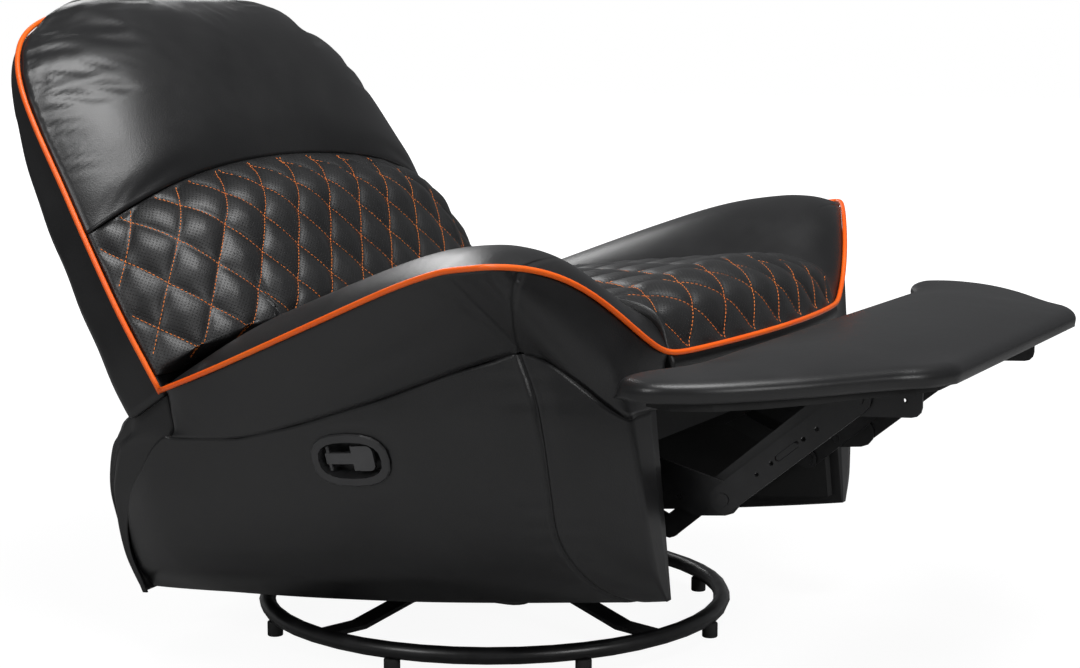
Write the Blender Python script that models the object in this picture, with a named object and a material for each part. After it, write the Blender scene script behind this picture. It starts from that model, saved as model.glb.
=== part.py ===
"""Gaming sofa: a swivel rocker recliner with a pop-up footrest.

The sofa is built as it stands in use: rocked a little back, footrest out and back leaning.
Metres, +Z up, the sitter faces -Y, and the swivel axis is vertical. Pieces of the seat tub are
drawn as it stands level, and one empty rocks the whole tub back about the rock shaft.
"""
import math

import bmesh
import bpy
from mathutils import Matrix, Vector
from mathutils.geometry import tessellate_polygon

# Fits and finishes
GAP = 0.0003
RUNNING_GAP = 0.0005
SEAM_GAP = 0.0008
STEEL = 0.0035
PLY = 0.018
ROUND_SIDES = 10

# Swivel base
RING_RADIUS = 0.315
RING_TUBE = 0.0115
RING_HEIGHT = 0.030
RING_SEGMENTS = 48
RING_SIDES = 8
BASE_ARM_COUNT = 4
BASE_ARM_WIDTH = 0.030
BASE_ARM_THICKNESS = 0.006
BASE_TURN = math.radians(-18.0)
GLIDE_COUNT = 8
GLIDE_RADIUS = 0.014
GLIDE_FLARE = 0.017
HUB_RADIUS = 0.125
HUB_THICKNESS = 0.004
HUB_HEIGHT = 0.050
RACE_RADIUS = 0.095
RACE_BORE = 0.040
RACE_THICKNESS = 0.006
PIVOT_RADIUS = 0.008
PIVOT_HEAD_RADIUS = 0.013
PIVOT_HEAD = 0.006
SWIVEL_WIDTH = 0.350
SWIVEL_DEPTH = 0.270
SWIVEL_THICKNESS = 0.004
SWIVEL_CORNER = 0.020

# Rocker
ROCK_BACK = math.radians(5.5)
ROCK_HEIGHT = 0.130
SHAFT_RADIUS = 0.008
SHAFT_NUT_RADIUS = 0.013
SHAFT_NUT = 0.005
STAND_X = 0.150
STAND_HALF = 0.045
STAND_EYE = 0.020
SADDLE_REACH = 0.115
SADDLE_END = 0.012
BEAM_SPACING = 0.220
BEAM_WIDTH = 0.030
BEAM_HEIGHT = 0.025
BEAM_BOTTOM = 0.200
SPRING_X = 0.095
SPRING_RADIUS = 0.019
SPRING_WIRE = 0.0026
SPRING_TURNS = 5
SPRING_POINTS = 8
SPRING_SIDES = 5

# Seat tub: side boards and padded side panels
BOARD_X = 0.2803
PANEL_X = BOARD_X + PLY + GAP
TUB_FRONT = -0.400
TUB_REAR = 0.356
TUB_BOTTOM = 0.100
BOTTOM_BOW = 0.012
BOARD_FRONT = -0.385
BOARD_REAR = 0.340
BOARD_BOTTOM = 0.112
SIDE_HEIGHTS = (0.100, 0.130, 0.165, 0.200, 0.245, 0.335, 0.420)
SIDE_WIDTHS = (0.318, 0.362, 0.385, 0.400, 0.415, 0.437, 0.443)
SIDE_LEVELS = 6
FRONT_TURN = 0.125
FRONT_TUCK_SHARE = 0.46
REAR_TURN = 0.110
REAR_TUCK_SHARE = 0.42

# The seam along the top of the side panel, as places along the tub and heights, front to rear
SEAM_PLACES = (-0.400, -0.385, -0.360, -0.330, -0.300, -0.215, -0.113, 0.010, 0.104, 0.205)
SEAM_HEIGHTS = (0.325, 0.340, 0.372, 0.402, 0.412, 0.392, 0.363, 0.334, 0.318, 0.320)
REAR_PLACES = (0.215, 0.239, 0.267, 0.303, 0.333, 0.349, 0.356)
REAR_HEIGHTS = (0.322, 0.306, 0.277, 0.244, 0.206, 0.176, 0.150)

# Arms: half width, place and height of the outer edge from rear to front, then of the front
# edge from the seat outwards, and the inner edge beside the seat
ARM_EDGE = ((0.440, 0.205, 0.381), (0.452, 0.130, 0.401), (0.470, 0.045, 0.427), (0.486, -0.040, 0.452),
            (0.502, -0.123, 0.478), (0.518, -0.205, 0.503), (0.534, -0.270, 0.516), (0.550, -0.333, 0.519))
ARM_FRONT = ((BOARD_X, -0.4165, 0.389), (0.311, -0.4105, 0.398), (0.351, -0.4040, 0.423),
             (0.395, -0.3930, 0.457), (0.434, -0.3800, 0.483), (0.473, -0.3660, 0.501),
             (0.515, -0.3500, 0.513), (0.550, -0.3330, 0.519))
INNER_PLACES = (-0.4165, -0.400, -0.369, -0.310, -0.217, -0.121, -0.050, 0.100, 0.205)
INNER_HEIGHTS = (0.389, 0.425, 0.446, 0.456, 0.461, 0.458, 0.448, 0.428, 0.398)
CREST_PLACES = (-0.420, -0.390, -0.330, -0.220, -0.060, 0.020, 0.106, 0.205)
CREST_HEIGHTS = (0.0, 0.022, 0.036, 0.048, 0.044, 0.039, 0.030, 0.012)
ARM_BULGE = 0.010
ARM_COLUMNS = 9
ARM_CORNER_SHARE = 0.5
ARM_WRAP = 0.065
ARM_LIFT = 0.005

# Seat cushion and what carries it
DECK_HEIGHT = 0.368
SINUOUS_WIRE = 0.002
SINUOUS_COUNT = 3
SINUOUS_PITCH = 0.052
SINUOUS_SWING = 0.022
SINUOUS_SPACING = 0.150
SINUOUS_SIDES = 4
SEAT_REAR = 0.092
SEAT_FRONT = -0.447
SEAT_FRONT_BOW = 0.030
SEAT_EDGE_RISE = 0.020
SEAT_RISE = 0.087
SEAT_CROWN = 0.022
SEAT_REAR_DROP = 0.020
SEAT_ROLL = 0.070
ROLL_ROWS = 2
SEAT_DIAMONDS_WIDE = 6
SEAT_DIAMONDS_DEEP = 6
TUFT_DEPTH = 0.007

# Tub frame
FRONT_RAIL_DEPTH = 0.083
REAR_RAIL_Y = 0.066
REAR_RAIL_DEPTH = 0.068
REAR_PANEL_THICKNESS = 0.012
REAR_PANEL_TOP = 0.205

# Gusset between the tub and the foot of the back: places on the panel's seam, rear places, half widths
GUSSET_THICKNESS = 0.004
GUSSET_SEAMS = (0.333, 0.303, 0.267, 0.239, 0.215)
GUSSET_REARS = (0.366, 0.370, 0.3705, 0.364, 0.353)
GUSSET_HALVES = (0.372, 0.388, 0.397, 0.402, 0.405)
GUSSET_STEPS = 14
GUSSET_SQUARENESS = 5.0

# Back, drawn in its own plane: across, up along the back, and forward of the edge piping
HINGE = (0.217, 0.376)
RECLINE = math.radians(27.5)
BACK_STATIONS = (-0.060, 0.110, 0.210, 0.300, 0.373, 0.428, 0.468, 0.500, 0.526, 0.547, 0.563, 0.573)
BACK_HALVES = (0.424, 0.424, 0.416, 0.406, 0.399, 0.390, 0.376, 0.355, 0.325, 0.280, 0.215, 0.130)
BACK_EDGE = 0.008
FRAME_THICKNESS = 0.0177
FRAME_INSET = 0.030
FRAME_BOTTOM = -0.045
FRAME_SHOULDER = 0.130
HEAD_CROWN = 0.082
HEAD_SEAM_SHARE = 0.62
LUMBAR_CROWN = 0.110
LUMBAR_SEAM_SHARE = 0.58
LUMBAR_FOOT_SHARE = 0.55
SEAM_MIDDLE = 0.283
SEAM_DROP = 0.060
SEAM_DROP_HALF = 0.420
TONGUE_HALF = 0.256
TONGUE_BOTTOM = -0.060
TONGUE_STEP = 0.012
WING_BOTTOM = 0.022
WING_RISE = 0.070
SHELL_BOTTOM = -0.004
SHELL_PLACES = (0.0, 0.140, 0.230, 0.330, 0.415, 0.500, 0.573)
SHELL_BAND = (0.070, 0.060, 0.055, 0.050, 0.030, 0.020, 0.012)
SHELL_DEPTHS = (0.112, 0.112, 0.108, 0.098, 0.084, 0.060, 0.020)
LUMBAR_SHARES = (0.0, 0.1, 0.2, 0.3, 0.4, 0.5, 0.6, 0.645, 0.76, 0.88, 1.0)
LUMBAR_ROWS = 9
HEAD_STATIONS = (0.283, 0.315, 0.355, 0.400, 0.440, 0.475, 0.505, 0.530, 0.550, 0.565, 0.573)
HEAD_COLUMNS = 13
SHELL_STATIONS = (-0.004, 0.060, 0.135, 0.220, 0.310, 0.385, 0.440, 0.485, 0.520, 0.547, 0.563, 0.573)
SHELL_COLUMNS = 11
BRACKET_EYE = 0.014
BRACKET_RISE = 0.120
POST_FOOT = 0.130
POST_HALF = 0.014
POST_SLOT_DEPTH = 0.025
POST_SLOT_TOP = 0.020
POST_X = BOARD_X - GAP - STEEL
BRACKET_X = POST_X - RUNNING_GAP - STEEL
HINGE_STUD = 0.006

# Piping
PIPING_RADIUS = 0.0040
PIPING_SIDES = 6

# Footrest pad, drawn in its own frame: forward from the rear edge, and up from the underside
PAD_DROOP = math.radians(5.5)
PAD_REAR = (-0.4942, 0.3587)
EAR_REACH = 0.036
EAR_START = 0.400
EAR_END = 0.500
PAD_CROWN = 0.028
PAD_EDGE = 0.018
PAD_STATIONS = (0.0, 0.030, 0.070, 0.110, 0.150, 0.185, 0.215, 0.240, 0.258)
PAD_HALVES = (0.528, 0.545, 0.526, 0.485, 0.430, 0.378, 0.338, 0.312, 0.270)
PAD_COLUMNS = 19
PAD_BOARD_THICKNESS = 0.010
PAD_BOARD_MARGIN = 0.022

# Footrest linkage: pivots as the sofa stands, footrest out
RAIL_X = 0.2280
LAYER = STEEL + 0.0010
STAY_X = RAIL_X + LAYER
CONTROL_X = STAY_X + LAYER
CRANK_X = CONTROL_X + LAYER
LONG_X = CRANK_X + LAYER
HEEL = (-0.2945, 0.2674)
KNEE = (-0.4538, 0.2099)
TOE = (-0.6287, 0.3266)
CLOSED_PAD_REAR = (-0.4262, 0.3557)
FOLD_TURN = math.radians(90.0)
CONTROL_BACK = 0.040
CONTROL_DROP = 0.006
CONTROL_TAIL = 0.050
CRANK_EYE = 0.020
LINK_EYE = 0.017
SMALL_EYE = 0.013
STUD_RADIUS = 0.005
STUD_HEAD = 0.008
STUD_HEAD_THICKNESS = 0.0015
OPEN_PIVOT_CLEARANCE = 0.0018
TAIL_PIVOT_CLEARANCE = 0.0013
RAIL_EYE = 0.022
RAIL_REAR = 0.140
RAIL_END = 0.020
TORQUE_TUBE_RADIUS = 0.009
TORQUE_SHANK = 0.0065
FLANGE_WIDTH = 0.020
BRACKET_FRONT = 0.212
BRACKET_BACK = 0.078
BRACKET_TIP = 0.012
RIB_HEIGHT = 0.0015
RIB_WIDTH = 0.008
RIB_START_SHARE = 0.42
RIB_END_SHARE = 0.56
LINK_HOLE = 0.0032
LINK_HOLE_SHARES = (0.26, 0.37, 0.61, 0.71)

# Release handle in the near side panel
HANDLE_Y = -0.055
HANDLE_Z = 0.290
HANDLE_LENGTH = 0.110
HANDLE_WIDTH = 0.068
HANDLE_LIP = 0.008
HANDLE_PROUD = 0.003
HANDLE_CUP = 0.024
HANDLE_WALL = 0.0025
HANDLE_SQUARENESS = 2.6
HANDLE_SIDES = 20
PADDLE_THICKNESS = 0.005
PADDLE_DEPTH = 0.006
PADDLE_HINGE = 0.034
PADDLE_FRONT = 0.030
PADDLE_STEM_HALF = 0.007
PADDLE_HALF = 0.016
PADDLE_PIN = 0.0025
PADDLE_PIN_HALF = 0.0158
CUT_OVERRUN = 0.010


def clear_scene():
    for thing in list(bpy.data.objects):
        bpy.data.objects.remove(thing)


def material(name, colour, roughness, metallic=0.0):
    made = bpy.data.materials.new(name)
    made.use_nodes = True
    shader = made.node_tree.nodes["Principled BSDF"]
    shader.inputs["Base Color"].default_value = (*colour, 1.0)
    shader.inputs["Roughness"].default_value = roughness
    shader.inputs["Metallic"].default_value = metallic
    return made


def empty(name, location, rotation=(0.0, 0.0, 0.0), parent=None):
    made = bpy.data.objects.new(name, None)
    bpy.context.scene.collection.objects.link(made)
    made.location = location
    made.rotation_euler = rotation
    made.parent = parent
    return made


def pivot(name, place, parent):
    """An empty on a cross axis of the tub, and one under it in which the tub's own places hold."""
    axis = empty(name, (0.0, place[0], place[1]), parent=parent)
    return empty(name + "_datum", (0.0, -place[0], -place[1]), parent=axis)


def finish(name, verts, faces, look, parent, location=(0.0, 0.0, 0.0), rotation=(0.0, 0.0, 0.0), crease=35.0):
    """One closed mesh as a named object, faces turned outwards and round parts shaded smooth."""
    mesh = bpy.data.meshes.new(name)
    mesh.from_pydata([tuple(v) for v in verts], [], faces)
    worker = bmesh.new()
    worker.from_mesh(mesh)
    bmesh.ops.recalc_face_normals(worker, faces=worker.faces)
    worker.to_mesh(mesh)
    worker.free()
    mesh.shade_smooth()
    mesh.set_sharp_from_angle(angle=math.radians(crease))
    mesh.materials.append(look)
    made = bpy.data.objects.new(name, mesh)
    bpy.context.scene.collection.objects.link(made)
    made.location = location
    made.rotation_euler = rotation
    made.parent = parent
    return made


def add_boolean(piece, other, operation):
    cut = piece.modifiers.new(operation.title(), "BOOLEAN")
    cut.operation = operation
    cut.object = other
    cut.solver = "EXACT"


def as_guide(piece):
    piece.hide_render = True
    piece.display_type = "WIRE"
    return piece


def along(place, places, values):
    """The value at a place, straight between the given rising places."""
    if place <= places[0]:
        return values[0]
    for i in range(1, len(places)):
        if place <= places[i]:
            share = (place - places[i - 1]) / (places[i] - places[i - 1])
            return values[i - 1] + share * (values[i] - values[i - 1])
    return values[-1]


def smooth_share(share):
    held = min(1.0, max(0.0, share))
    return held * held * (3.0 - 2.0 * held)


def blended(first, last, share):
    return first + (last - first) * share


def turned_by(point, angle):
    """A point of a side view, (along, up), turned about the X axis."""
    across, up = point
    return (across * math.cos(angle) - up * math.sin(angle), across * math.sin(angle) + up * math.cos(angle))


def through_line(points, share):
    """A place on the run of straight lines through points, evenly by point."""
    place = min(max(share, 0.0), 1.0) * (len(points) - 1)
    i = min(int(place), len(points) - 2)
    return Vector(points[i]).lerp(Vector(points[i + 1]), place - i)


def circle(centre, radius, sides):
    return [(centre[0] + radius * math.cos(2 * math.pi * k / sides),
             centre[1] + radius * math.sin(2 * math.pi * k / sides)) for k in range(sides)]


def bore(centre, radius, sides=12):
    """The outline of a hole whose flats still clear a pin of the given radius as it turns."""
    return circle(centre, (radius + GAP) / math.cos(math.pi / sides), sides)


def oval(half_length, half_width, sides):
    """A squarish oval, the outline of the release handle's frame."""
    made = []
    for k in range(sides):
        angle = 2 * math.pi * k / sides
        across = math.copysign(abs(math.cos(angle)) ** (2 / HANDLE_SQUARENESS), math.cos(angle))
        up = math.copysign(abs(math.sin(angle)) ** (2 / HANDLE_SQUARENESS), math.sin(angle))
        made.append((half_length * across, half_width * up))
    return made


def hull(discs, sides=12):
    """The outline of a plate that wraps round discs, each (along, up, radius)."""
    cloud = sorted({p for across, up, radius in discs for p in circle((across, up), radius, sides)})

    def half(points):
        chain = []
        for p in points:
            while len(chain) > 1:
                a, b = chain[-2], chain[-1]
                if (b[0] - a[0]) * (p[1] - a[1]) - (b[1] - a[1]) * (p[0] - a[0]) > 0:
                    break
                chain.pop()
            chain.append(p)
        return chain[:-1]

    return half(cloud) + half(cloud[::-1])


def rounded(corners, radius, steps=4):
    """A polygon with each corner cut to an arc of the given radius."""
    made = []
    for i, corner in enumerate(corners):
        here = Vector(corner)
        before = Vector(corners[i - 1]) - here
        after = Vector(corners[(i + 1) % len(corners)]) - here
        half_angle = before.angle(after) / 2
        run = min(radius / math.tan(half_angle), before.length / 2.01, after.length / 2.01)
        size = run * math.tan(half_angle)
        middle = before.normalized() + after.normalized()
        centre = here + middle.normalized() * (size / math.sin(half_angle))
        first = here + before.normalized() * run - centre
        last = here + after.normalized() * run - centre
        sweep = math.atan2(first.x * last.y - first.y * last.x, first.dot(last))
        begin = math.atan2(first.y, first.x)
        for k in range(steps + 1):
            angle = begin + sweep * k / steps
            made.append((centre.x + size * math.cos(angle), centre.y + size * math.sin(angle)))
    return made


def in_yz(u, v, w):
    return (w, u, v)


def in_xy(u, v, w):
    return (u, v, w)


def in_xz(u, v, w):
    return (u, w, v)


def plate(name, outline, low, high, look, parent, holes=(), bosses=(), place=in_yz, **more):
    """A flat plate from low to high, with through holes and raised bosses.

    A boss is (outline, side, rings): side is +1 on the high face or -1 on the low one, and each
    ring is (distance from the face, growth about the boss's middle).
    """
    loops = [list(outline)] + [list(h) for h in holes] + [list(b[0]) for b in bosses]
    starts = []
    flat = []
    for loop in loops:
        starts.append(len(flat))
        flat.extend(loop)
    total = len(flat)
    verts = [place(u, v, low) for u, v in flat] + [place(u, v, high) for u, v in flat]
    faces = []
    for tri in tessellate_polygon([[Vector((u, v, 0.0)) for u, v in loop] for loop in loops]):
        faces.append(tuple(tri))
        faces.append(tuple(total + i for i in tri))
    for loop, start in list(zip(loops, starts))[:1 + len(holes)]:
        size = len(loop)
        for k in range(size):
            a, b = start + k, start + (k + 1) % size
            faces.append((a, b, total + b, total + a))
    for (loop, side, rings), start in zip(bosses, starts[1 + len(holes):]):
        size = len(loop)
        middle = (sum(p[0] for p in loop) / size, sum(p[1] for p in loop) / size)
        cap = tessellate_polygon([[Vector((u, v, 0.0)) for u, v in loop]])
        face = high if side > 0 else low
        last = [start + k + (total if side > 0 else 0) for k in range(size)]
        other = [start + k + (0 if side > 0 else total) for k in range(size)]
        for tri in cap:
            faces.append(tuple(other[i] for i in tri))
        for rise, growth in rings:
            ring = []
            for u, v in loop:
                ring.append(len(verts))
                verts.append(place(middle[0] + (u - middle[0]) * growth, middle[1] + (v - middle[1]) * growth,
                                   face + side * rise))
            for k in range(size):
                faces.append((last[k], last[(k + 1) % size], ring[(k + 1) % size], ring[k]))
            last = ring
        for tri in cap:
            faces.append(tuple(last[i] for i in tri))
    return finish(name, verts, faces, look, parent, **more)


def side_plate(name, outline, x, side, look, parent, holes=(), outboard=(), inboard=(), thickness=STEEL):
    """A steel side plate of the near (-1) or far (+1) side, with bosses out from or in to the middle."""
    low, high = (x, x + thickness) if side > 0 else (-x - thickness, -x)
    bosses = [(loop, side, rings) for loop, rings in outboard]
    bosses += [(loop, -side, rings) for loop, rings in inboard]
    return plate(name, outline, low, high, look, parent, holes=holes, bosses=bosses)


def headed(centre, length, radius=STUD_RADIUS, sides=ROUND_SIDES):
    """A shouldered stud: a shank, then a flat head that keeps the next link on."""
    grow = (radius + STUD_HEAD - STUD_RADIUS) / radius
    return (circle(centre, radius, sides), ((length, 1.0), (length, grow), (length + STUD_HEAD_THICKNESS, grow)))


def flush(centre, length, radius=STUD_RADIUS, sides=ROUND_SIDES):
    """A stud whose end stays level with the link it carries."""
    return (circle(centre, radius, sides), ((length, 1.0),))


def pillow(name, top, bottom, look, parent, rims=(), **more):
    """A closed soft form between two grids of points, with rings of points round its edge."""
    rows = len(top)
    columns = len(top[0])
    verts = [p for row in top for p in row] + [p for row in bottom for p in row]
    total = rows * columns
    faces = []
    for i in range(rows - 1):
        for j in range(columns - 1):
            a = i * columns + j
            b, c, d = a + 1, a + columns + 1, a + columns
            if (i + j) % 2:
                halves = ((a, b, d), (b, c, d))
            else:
                halves = ((a, b, c), (a, c, d))
            for tri in halves:
                faces.append(tri)
                faces.append(tuple(total + v for v in reversed(tri)))
    edge = [(0, j) for j in range(columns - 1)] + [(i, columns - 1) for i in range(rows - 1)]
    edge += [(rows - 1, j) for j in range(columns - 1, 0, -1)] + [(i, 0) for i in range(rows - 1, 0, -1)]
    last = [i * columns + j for i, j in edge]
    for rim in rims:
        ring = []
        for i, j in edge:
            ring.append(len(verts))
            verts.append(rim(i, j))
        for k in range(len(edge)):
            n = (k + 1) % len(edge)
            faces.append((last[k], last[n], ring[n], ring[k]))
        last = ring
    base = [total + i * columns + j for i, j in edge]
    for k in range(len(edge)):
        n = (k + 1) % len(edge)
        faces.append((last[k], last[n], base[n], base[k]))
    return finish(name, verts, faces, look, parent, **more)


def tube(name, points, radius, look, parent, sides=PIPING_SIDES, closed=False, **more):
    """A round bar along points, flat at both ends."""
    path = [Vector(p) for p in points]
    count = len(path)
    tangents = []
    for i in range(count):
        if closed:
            run = path[(i + 1) % count] - path[i - 1]
        else:
            run = path[min(i + 1, count - 1)] - path[max(i - 1, 0)]
        tangents.append(run.normalized())
    side = Vector((0.0, 0.0, 1.0)).cross(tangents[0])
    if side.length < 0.1:
        side = Vector((1.0, 0.0, 0.0))
    verts = []
    for i in range(count):
        side = (side - tangents[i] * side.dot(tangents[i])).normalized()
        up = tangents[i].cross(side)
        for k in range(sides):
            angle = 2 * math.pi * k / sides
            verts.append(path[i] + side * (radius * math.cos(angle)) + up * (radius * math.sin(angle)))
    faces = []
    for i in range(count if closed else count - 1):
        here = i * sides
        ahead = ((i + 1) % count) * sides
        for k in range(sides):
            n = (k + 1) % sides
            faces.append((here + k, here + n, ahead + n, ahead + k))
    if not closed:
        faces.append(tuple(range(sides)))
        faces.append(tuple((count - 1) * sides + k for k in range(sides)))
    return finish(name, verts, faces, look, parent, **more)


def turned(name, profile, sides, look, parent, closed=False, **more):
    """A turned piece about Z from (radius, height) pairs: capped at its ends, or a closed section."""
    verts = [(r * math.cos(2 * math.pi * k / sides), r * math.sin(2 * math.pi * k / sides), z)
             for r, z in profile for k in range(sides)]
    count = len(profile)
    faces = [(i * sides + k, i * sides + (k + 1) % sides,
              (i + 1) % count * sides + (k + 1) % sides, (i + 1) % count * sides + k)
             for i in range(count if closed else count - 1) for k in range(sides)]
    if not closed:
        faces.append(tuple(range(sides)))
        faces.append(tuple((count - 1) * sides + k for k in range(sides)))
    return finish(name, verts, faces, look, parent, **more)


def washer(name, bore, radius, low, high, sides, look, parent, **more):
    section = ((bore, low), (radius, low), (radius, high), (bore, high))
    return turned(name, section, sides, look, parent, closed=True, **more)


def circle_through(first, middle, last):
    """Centre and radius of the circle through three points of a side view."""
    rows = []
    for other in (middle, last):
        rows.append((2 * (other[0] - first[0]), 2 * (other[1] - first[1]),
                     other[0] ** 2 - first[0] ** 2 + other[1] ** 2 - first[1] ** 2))
    (a, b, c), (d, e, f) = rows
    scale = a * e - b * d
    centre = ((c * e - b * f) / scale, (a * f - c * d) / scale)
    return centre, math.dist(centre, first)


def swivel_base(steel, rubber, parent):
    """A steel ring with four cranked arms welded to a round hub plate, on eight rubber glides."""
    base = empty("base_turn", (0.0, 0.0, 0.0), (0.0, 0.0, BASE_TURN), parent)
    sweep = [(x, y, RING_HEIGHT) for x, y in circle((0.0, 0.0), RING_RADIUS, RING_SEGMENTS)]
    ring = tube("base_ring", sweep, RING_TUBE, steel, base, sides=RING_SIDES, closed=True)
    inner = (HUB_RADIUS + RACE_BORE) / 2
    outer = RING_RADIUS - RING_TUBE / 2
    run = outer - HUB_RADIUS
    bend_low = outer - run * 0.35
    bend_high = HUB_RADIUS + run * 0.20
    low = RING_HEIGHT - BASE_ARM_THICKNESS / 2
    high = HUB_HEIGHT - BASE_ARM_THICKNESS / 2
    for k in range(BASE_ARM_COUNT):
        profile = ((inner, high), (bend_high, high), (bend_low, low), (outer, low),
                   (outer, low + BASE_ARM_THICKNESS), (bend_low, low + BASE_ARM_THICKNESS),
                   (bend_high, high + BASE_ARM_THICKNESS), (inner, high + BASE_ARM_THICKNESS))
        arm = plate("arm_guide_%d" % (k + 1), profile, -BASE_ARM_WIDTH / 2, BASE_ARM_WIDTH / 2, steel, base,
                    place=in_xz, rotation=(0.0, 0.0, 2 * math.pi * k / BASE_ARM_COUNT))
        add_boolean(ring, as_guide(arm), "UNION")
    hub = washer("hub_guide", PIVOT_RADIUS + GAP, HUB_RADIUS, HUB_HEIGHT, HUB_HEIGHT + HUB_THICKNESS,
                 24, steel, base)
    add_boolean(ring, as_guide(hub), "UNION")
    saddle = tube("glide_guide", sweep, RING_TUBE + GAP, steel, base, sides=RING_SIDES, closed=True)
    as_guide(saddle)
    for k in range(GLIDE_COUNT):
        turn = 2 * math.pi * (k + 0.5) / GLIDE_COUNT
        profile = ((GLIDE_FLARE, 0.0), (GLIDE_FLARE, GLIDE_FLARE / 4), (GLIDE_RADIUS, GLIDE_FLARE / 2),
                   (GLIDE_RADIUS, RING_HEIGHT - RING_TUBE / 2))
        glide = turned("glide_%d" % (k + 1), profile, 12, rubber, base, rotation=(0.0, 0.0, turn),
                       location=(RING_RADIUS * math.cos(turn), RING_RADIUS * math.sin(turn), 0.0))
        add_boolean(glide, saddle, "DIFFERENCE")


def swivel_bearing(steel, bright, parent, turntable):
    """The lower race, the turning plate with its own race, and the pivot bolt that holds them together."""
    level = HUB_HEIGHT + HUB_THICKNESS + GAP
    washer("lower_race", RACE_BORE, RACE_RADIUS, level, level + RACE_THICKNESS, 24, bright, parent)
    level += RACE_THICKNESS + GAP
    race = washer("upper_race_guide", RACE_BORE, RACE_RADIUS, level, level + RACE_THICKNESS + SWIVEL_THICKNESS / 2,
                  24, bright, turntable)
    level += RACE_THICKNESS
    top = level + SWIVEL_THICKNESS
    half_x, half_y = SWIVEL_WIDTH / 2, SWIVEL_DEPTH / 2
    corners = ((-half_x, -half_y), (half_x, -half_y), (half_x, half_y), (-half_x, half_y))
    turning = plate("swivel_plate", rounded(corners, SWIVEL_CORNER), level, top, steel, turntable, place=in_xy,
                    holes=(bore((0.0, 0.0), PIVOT_RADIUS),))
    add_boolean(turning, as_guide(race), "UNION")
    foot = HUB_HEIGHT - GAP
    head = top + RUNNING_GAP
    bolt = ((PIVOT_HEAD_RADIUS, foot - PIVOT_HEAD), (PIVOT_HEAD_RADIUS, foot), (PIVOT_RADIUS, foot),
            (PIVOT_RADIUS, head), (PIVOT_HEAD_RADIUS, head), (PIVOT_HEAD_RADIUS, head + PIVOT_HEAD))
    turned("pivot_bolt", bolt, 12, bright, parent)
    return turning, top


def rocker(steel, bright, turntable, tub, turning, plate_top):
    """Two stands welded to the turning plate, a cross shaft, and the tub's steel frame that rocks on it."""
    half = BOARD_X - GAP
    beams = []
    for word, y in (("front", -BEAM_SPACING / 2), ("rear", BEAM_SPACING / 2)):
        low, high = y - BEAM_WIDTH / 2, y + BEAM_WIDTH / 2
        top = BEAM_BOTTOM + BEAM_HEIGHT
        floor = BEAM_BOTTOM + STEEL
        section = ((low, BEAM_BOTTOM), (high, BEAM_BOTTOM), (high, top), (high - STEEL, top),
                   (high - STEEL, floor), (low + STEEL, floor), (low + STEEL, top), (low, top))
        beams.append(plate("rocker_frame" if word == "front" else "rear_beam_guide", section, -half, half,
                           steel, tub))
    for side, word in ((-1, "near"), (1, "far")):
        foot = plate_top - SWIVEL_THICKNESS / 2
        corner = STEEL
        outline = hull(((0.0, ROCK_HEIGHT, STAND_EYE), (-STAND_HALF + corner, foot + corner, corner),
                        (STAND_HALF - corner, foot + corner, corner)))
        stand = side_plate("stand_guide_" + word, outline, STAND_X, side, steel, turntable,
                           holes=(bore((0.0, ROCK_HEIGHT), SHAFT_RADIUS),))
        add_boolean(turning, as_guide(stand), "UNION")
        end = BEAM_BOTTOM + STEEL / 2 - SADDLE_END
        outline = hull(((0.0, ROCK_HEIGHT, STAND_EYE), (-SADDLE_REACH, end, SADDLE_END),
                        (SADDLE_REACH, end, SADDLE_END)), 20)
        saddle = side_plate("saddle_guide_" + word, outline, STAND_X + STEEL + RUNNING_GAP, side, steel, tub,
                            holes=(bore((0.0, ROCK_HEIGHT), SHAFT_RADIUS),))
        add_boolean(beams[0], as_guide(saddle), "UNION")
    add_boolean(beams[0], as_guide(beams[1]), "UNION")
    seat = STAND_X + 2 * STEEL + 2 * RUNNING_GAP
    shaft = ((SHAFT_NUT_RADIUS, -seat - SHAFT_NUT), (SHAFT_NUT_RADIUS, -seat), (SHAFT_RADIUS, -seat),
             (SHAFT_RADIUS, seat), (SHAFT_NUT_RADIUS, seat), (SHAFT_NUT_RADIUS, seat + SHAFT_NUT))
    turned("rock_shaft", shaft, 12, bright, turntable, location=(0.0, 0.0, ROCK_HEIGHT),
           rotation=(0.0, math.pi / 2, 0.0))


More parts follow.
